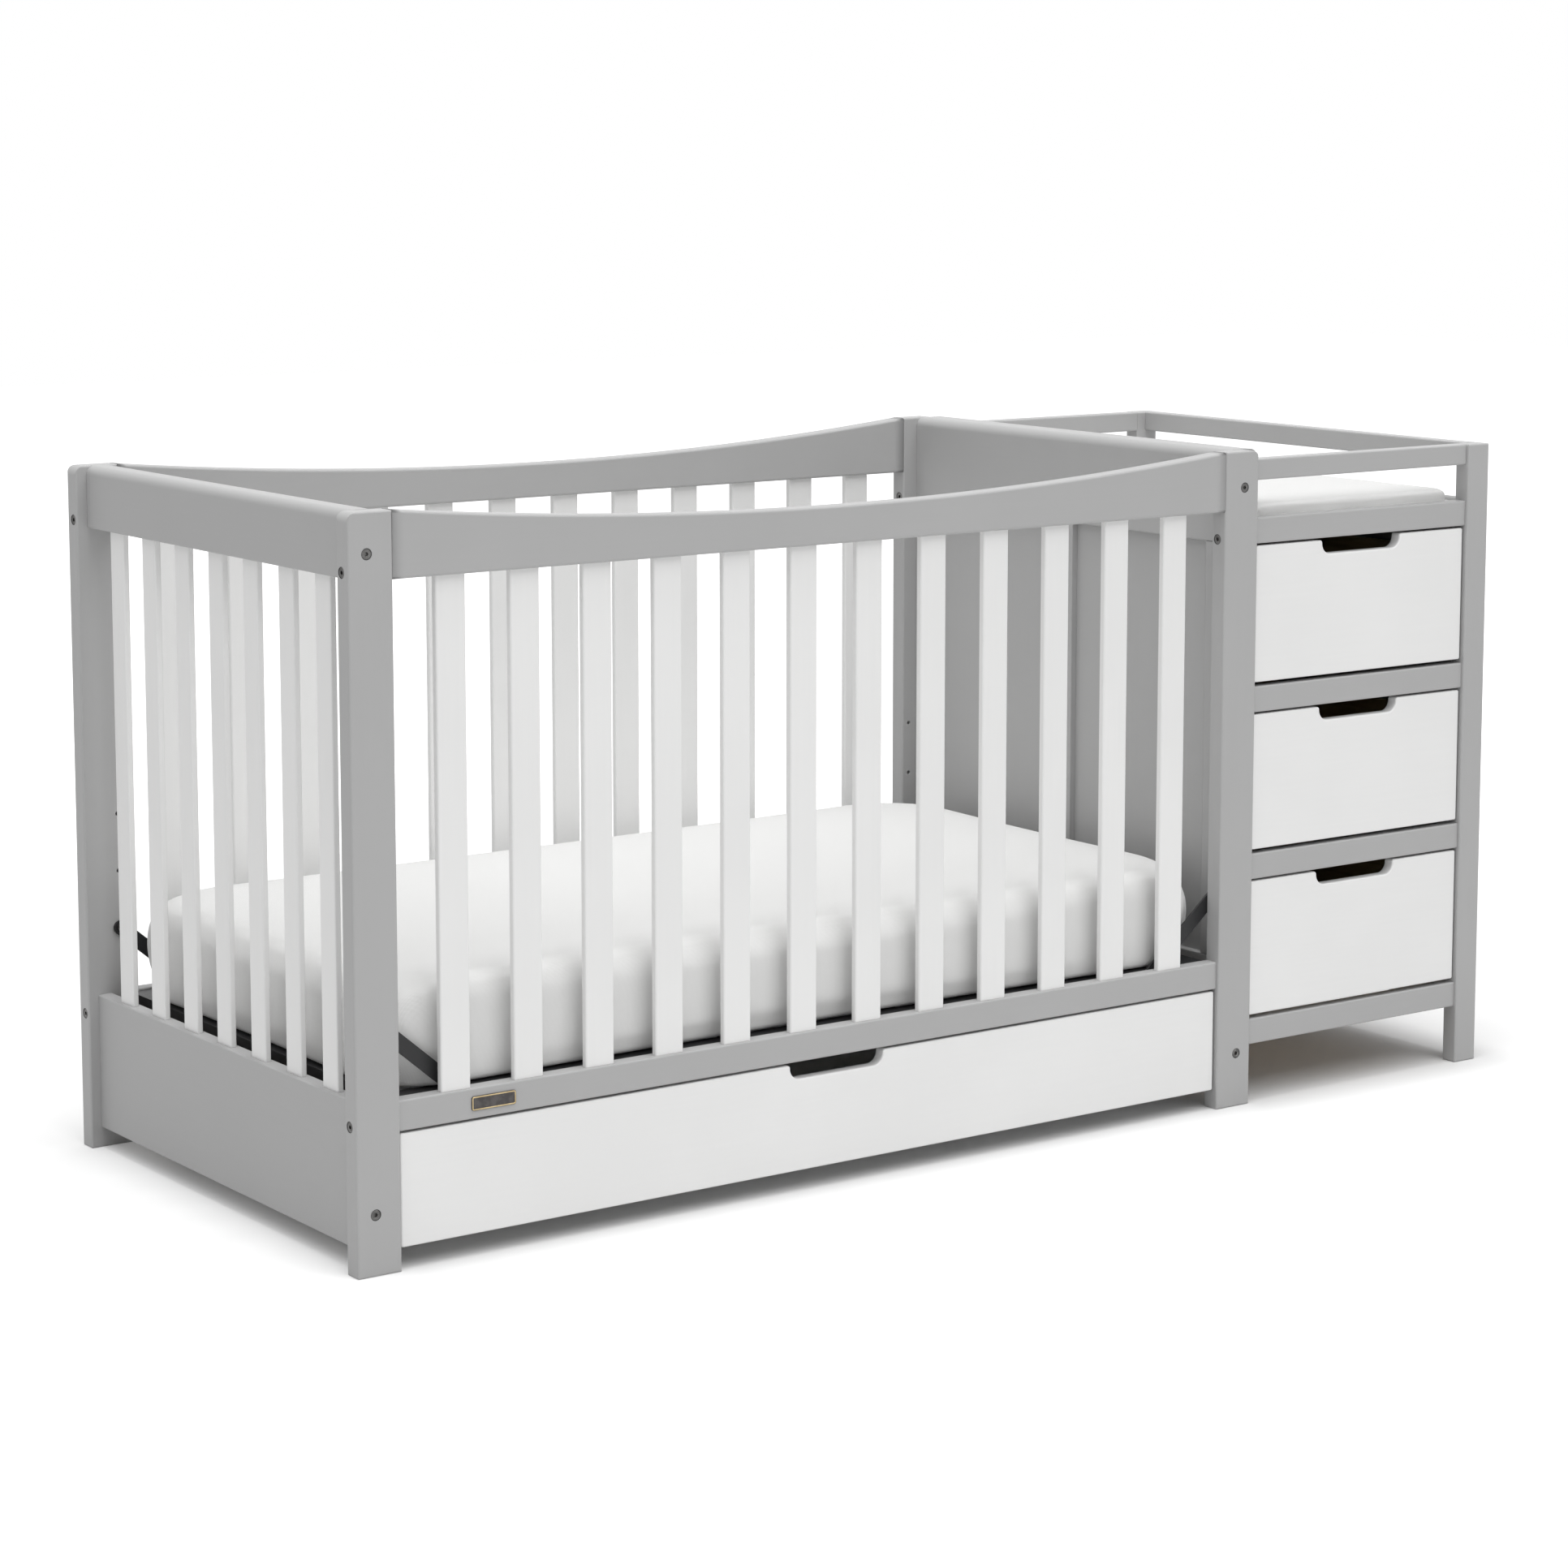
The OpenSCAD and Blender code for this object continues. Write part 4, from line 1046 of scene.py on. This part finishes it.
def make_box_screws():
    """Screws through a drawer's sides into its back, and through the wide drawer's strips."""
    for drawer, heights in BOX_SCREWS_UP.items():
        low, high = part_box(drawer + "_drawer_sides")
        places = []
        for share in heights:
            z = low.z + (high.z - low.z) * share
            places += both_sides(low, high, 0, high.y - BOX_BOARD / 2, z)
        if drawer == "crib":
            low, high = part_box("crib_drawer_runners")
            run = high.y - low.y - 2 * RUNNER_SCREWS_IN
            for k in range(RUNNER_SCREWS):
                y = low.y + RUNNER_SCREWS_IN + run * k / (RUNNER_SCREWS - 1)
                places += both_sides(low, high, 0, y, (low.z + high.z) / 2)
        grow(drawer + "_drawer_box_screws", screw_heads, screw(BOX_SCREW, 0.0009, 9),
             places, drawer + "_drawer", ways=OUTWARD * (len(places) // 2))


END_BOLT_IN, END_BOLTS_UP = 0.0258, (0.0775, 0.889)
SIDE_BOLT_IN, SIDE_BOLTS_UP = 0.0163, (0.188, 0.867)
LEG_BOLTS_UP, PLATFORM_BOLT_UP = (0.1036, 0.826), 0.817
COUNTERBORE, COUNTERBORE_PLAY = 0.0145, 0.00005
# Painted shade: a thin black ring lining each counterbore's wall, where there is only the shadow of
# the bore
PAINTED_SHADE_RING = {
    "Radius": COUNTERBORE / 2 - COUNTERBORE_PLAY, "Wall": 0.00065, "Height": 0.002, "Drop": 0.0003,
    "Material": black_steel,
}


def make_bolt_painted_shade_rings():
    """Painted shade: a thin black ring between each sunk bolt head and the wood round it, standing
    for the shadow in the counterbore's wall.
    """
    places, ways = [], []

    def bolt(place, way):
        places.append(place)
        ways.append(way)

    for side, face in (("front", -1), ("back", 1)):
        for end, out in (("left", -1), ("right", 1)):
            low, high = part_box(f"post_{side}_{end}")
            skin = low.y if face < 0 else high.y
            outer, inner = (low.x, high.x) if out < 0 else (high.x, low.x)
            for z in END_BOLTS_UP:
                bolt((outer - out * END_BOLT_IN, skin, z), (0, face, 0))
            for z in SIDE_BOLTS_UP:
                bolt((outer, skin - face * SIDE_BOLT_IN, z), (out, 0, 0))
            if out > 0:
                bolt((inner, skin - face * SIDE_BOLT_IN, PLATFORM_BOLT_UP), (-1, 0, 0))
        low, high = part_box("changer_leg_" + side)
        skin = low.y if face < 0 else high.y
        for z in LEG_BOLTS_UP:
            bolt((high.x, skin - face * SIDE_BOLT_IN, z), (1, 0, 0))
    grow("bolt_painted_shade_rings", painted_shade_rings, PAINTED_SHADE_RING, places, "frame", ways=ways)


DECK_BARS, DECK_WIRES, BAR_WIDTH, WIRE_DROP = 9, 8, 0.020, 0.0062
BEAD_RADIUS = 0.0029


def make_support_welds():
    """Where the deck's wires are welded to its cross bars."""
    low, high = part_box("mattress_support")
    places = []
    for i in range(1, DECK_BARS + 1):
        x = low.x + (high.x - low.x) * i / (DECK_BARS + 1)
        for j in range(1, DECK_WIRES + 1):
            y = low.y + (high.y - low.y) * j / (DECK_WIRES + 1)
            for side in (-1, 1):
                places.append((x + side * BAR_WIDTH / 2, y, high.z - WIRE_DROP))
    grow("mattress_support_welds", weld_beads, {"Radius": BEAD_RADIUS, "Material": black_steel},
         places, "frame")


# ---------------------------------------------------------------- studio

PAPER = 14
PAPER_WHITE = (0.80, 0.80, 0.80, 1)
# Painted light: the paper glows for the camera only, more with the distance from the furniture's
# footprint, which lightens the shadow's outer part, and again with the distance from its middle:
# distances in metres, then strengths
FOOTPRINT_MIDDLE, FOOTPRINT_HALF = (0.05, 0.0, 0.0), (0.90, 0.375, 9.0)
GLOW_BESIDE, GLOW_BEYOND = (0.0, 0.11, 0.02, 0.22), (1.1, 3.0, 0.02, 0.75)
WHITE_LIGHT = (1, 1, 1, 1)
SKY_LIGHT = 0.39
# Name, place, what it is aimed at, width of its square in metres, power in watts
LAMPS = [
    ("left_lamp", (-3.75, -0.75, 9.4), (0.0, 0.0, 0.4), 7.5, 311),
    ("front_lamp", (0.85, -6.0, 8.9), (0.1, 0.0, 0.4), 7.5, 440),
    ("top_lamp", (0.1, -0.25, 10.65), (0.1, 0.0, 0.4), 3.75, 406),
]


def make_floor():
    """White paper under the furniture: it reads white, and keeps the shadow, whose outer part is
    lightened by painted light seen only by the camera.
    """
    corners = [(-PAPER, -PAPER, 0), (PAPER, -PAPER, 0), (PAPER, PAPER, 0), (-PAPER, PAPER, 0)]
    mesh = mesh_from("studio_floor", corners, [(0, 1, 2, 3)], smooth=False)
    material, tree, shader = blank("studio paper")
    set_shader(shader, {
        "Roughness": 0.9, "Specular IOR Level": 0.0, "Base Color": PAPER_WHITE,
        "Emission Color": WHITE_LIGHT,
    })
    place = here(tree)
    reach = vector_calc(tree, "LENGTH", place)
    aside = vector_calc(tree, "ABSOLUTE", vector_calc(tree, "SUBTRACT", place, FOOTPRINT_MIDDLE))
    outside = vector_calc(tree, "SUBTRACT", aside, FOOTPRINT_HALF)
    clear = vector_calc(tree, "LENGTH", vector_calc(tree, "MAXIMUM", outside, (0.0, 0.0, 0.0)))
    # Painted light: glow seen only by the camera, growing away from the footprint and lightening
    # the shadow's edge
    glow = calc(tree, "MAXIMUM",
                spread(tree, clear, *GLOW_BESIDE), spread(tree, reach, *GLOW_BEYOND))
    seen = times(tree, add(tree, "ShaderNodeLightPath").outputs["Is Camera Ray"], glow)
    tree.links.new(seen, shader.inputs["Emission Strength"])
    mesh.materials.append(material)
    floor = bpy.data.objects.new("studio_floor", mesh)
    scene.collection.objects.link(floor)


def soft_lamp(name, place, target, size, power):
    lamp = bpy.data.lights.new(name, "AREA")
    lamp.shape = "SQUARE"
    lamp.size = size
    lamp.energy = power
    holder = bpy.data.objects.new(name, lamp)
    holder.location = place
    turn_to(holder, Vector(target) - Vector(place))
    scene.collection.objects.link(holder)


def make_sky():
    """Soft even light from all round, seen as white."""
    world = bpy.data.worlds.new("studio")
    world.use_nodes = True
    scene.world = world
    tree = world.node_tree
    background = tree.nodes["Background"]
    path = add(tree, "ShaderNodeLightPath").outputs
    seen = calc(tree, "MAXIMUM", path["Is Camera Ray"],
                calc(tree, "MAXIMUM", path["Is Glossy Ray"], path["Is Transmission Ray"]))
    background.inputs["Color"].default_value = WHITE_LIGHT
    level = add(tree, "ShaderNodeMapRange", {"Value": seen, "To Min": SKY_LIGHT, "To Max": 1.0})
    tree.links.new(level.outputs["Result"], background.inputs["Strength"])


set_camera()
make_floor()
make_sky()
for lamp in LAMPS:
    soft_lamp(*lamp)

finish_nodes()
make_top_rail("front_top_rail")
make_top_rail("back_top_rail")
make_drawer_front("crib_drawer_front", "crib_drawer")
for drawer in DRAWERS:
    make_drawer_front(drawer + "_drawer_front", drawer + "_drawer")
make_plate_rim()
make_mattress()
make_pad()
make_slide_screws()
make_box_screws()
make_support_welds()
# Painted shade in the bolts' counterbores
make_bolt_painted_shade_rings()
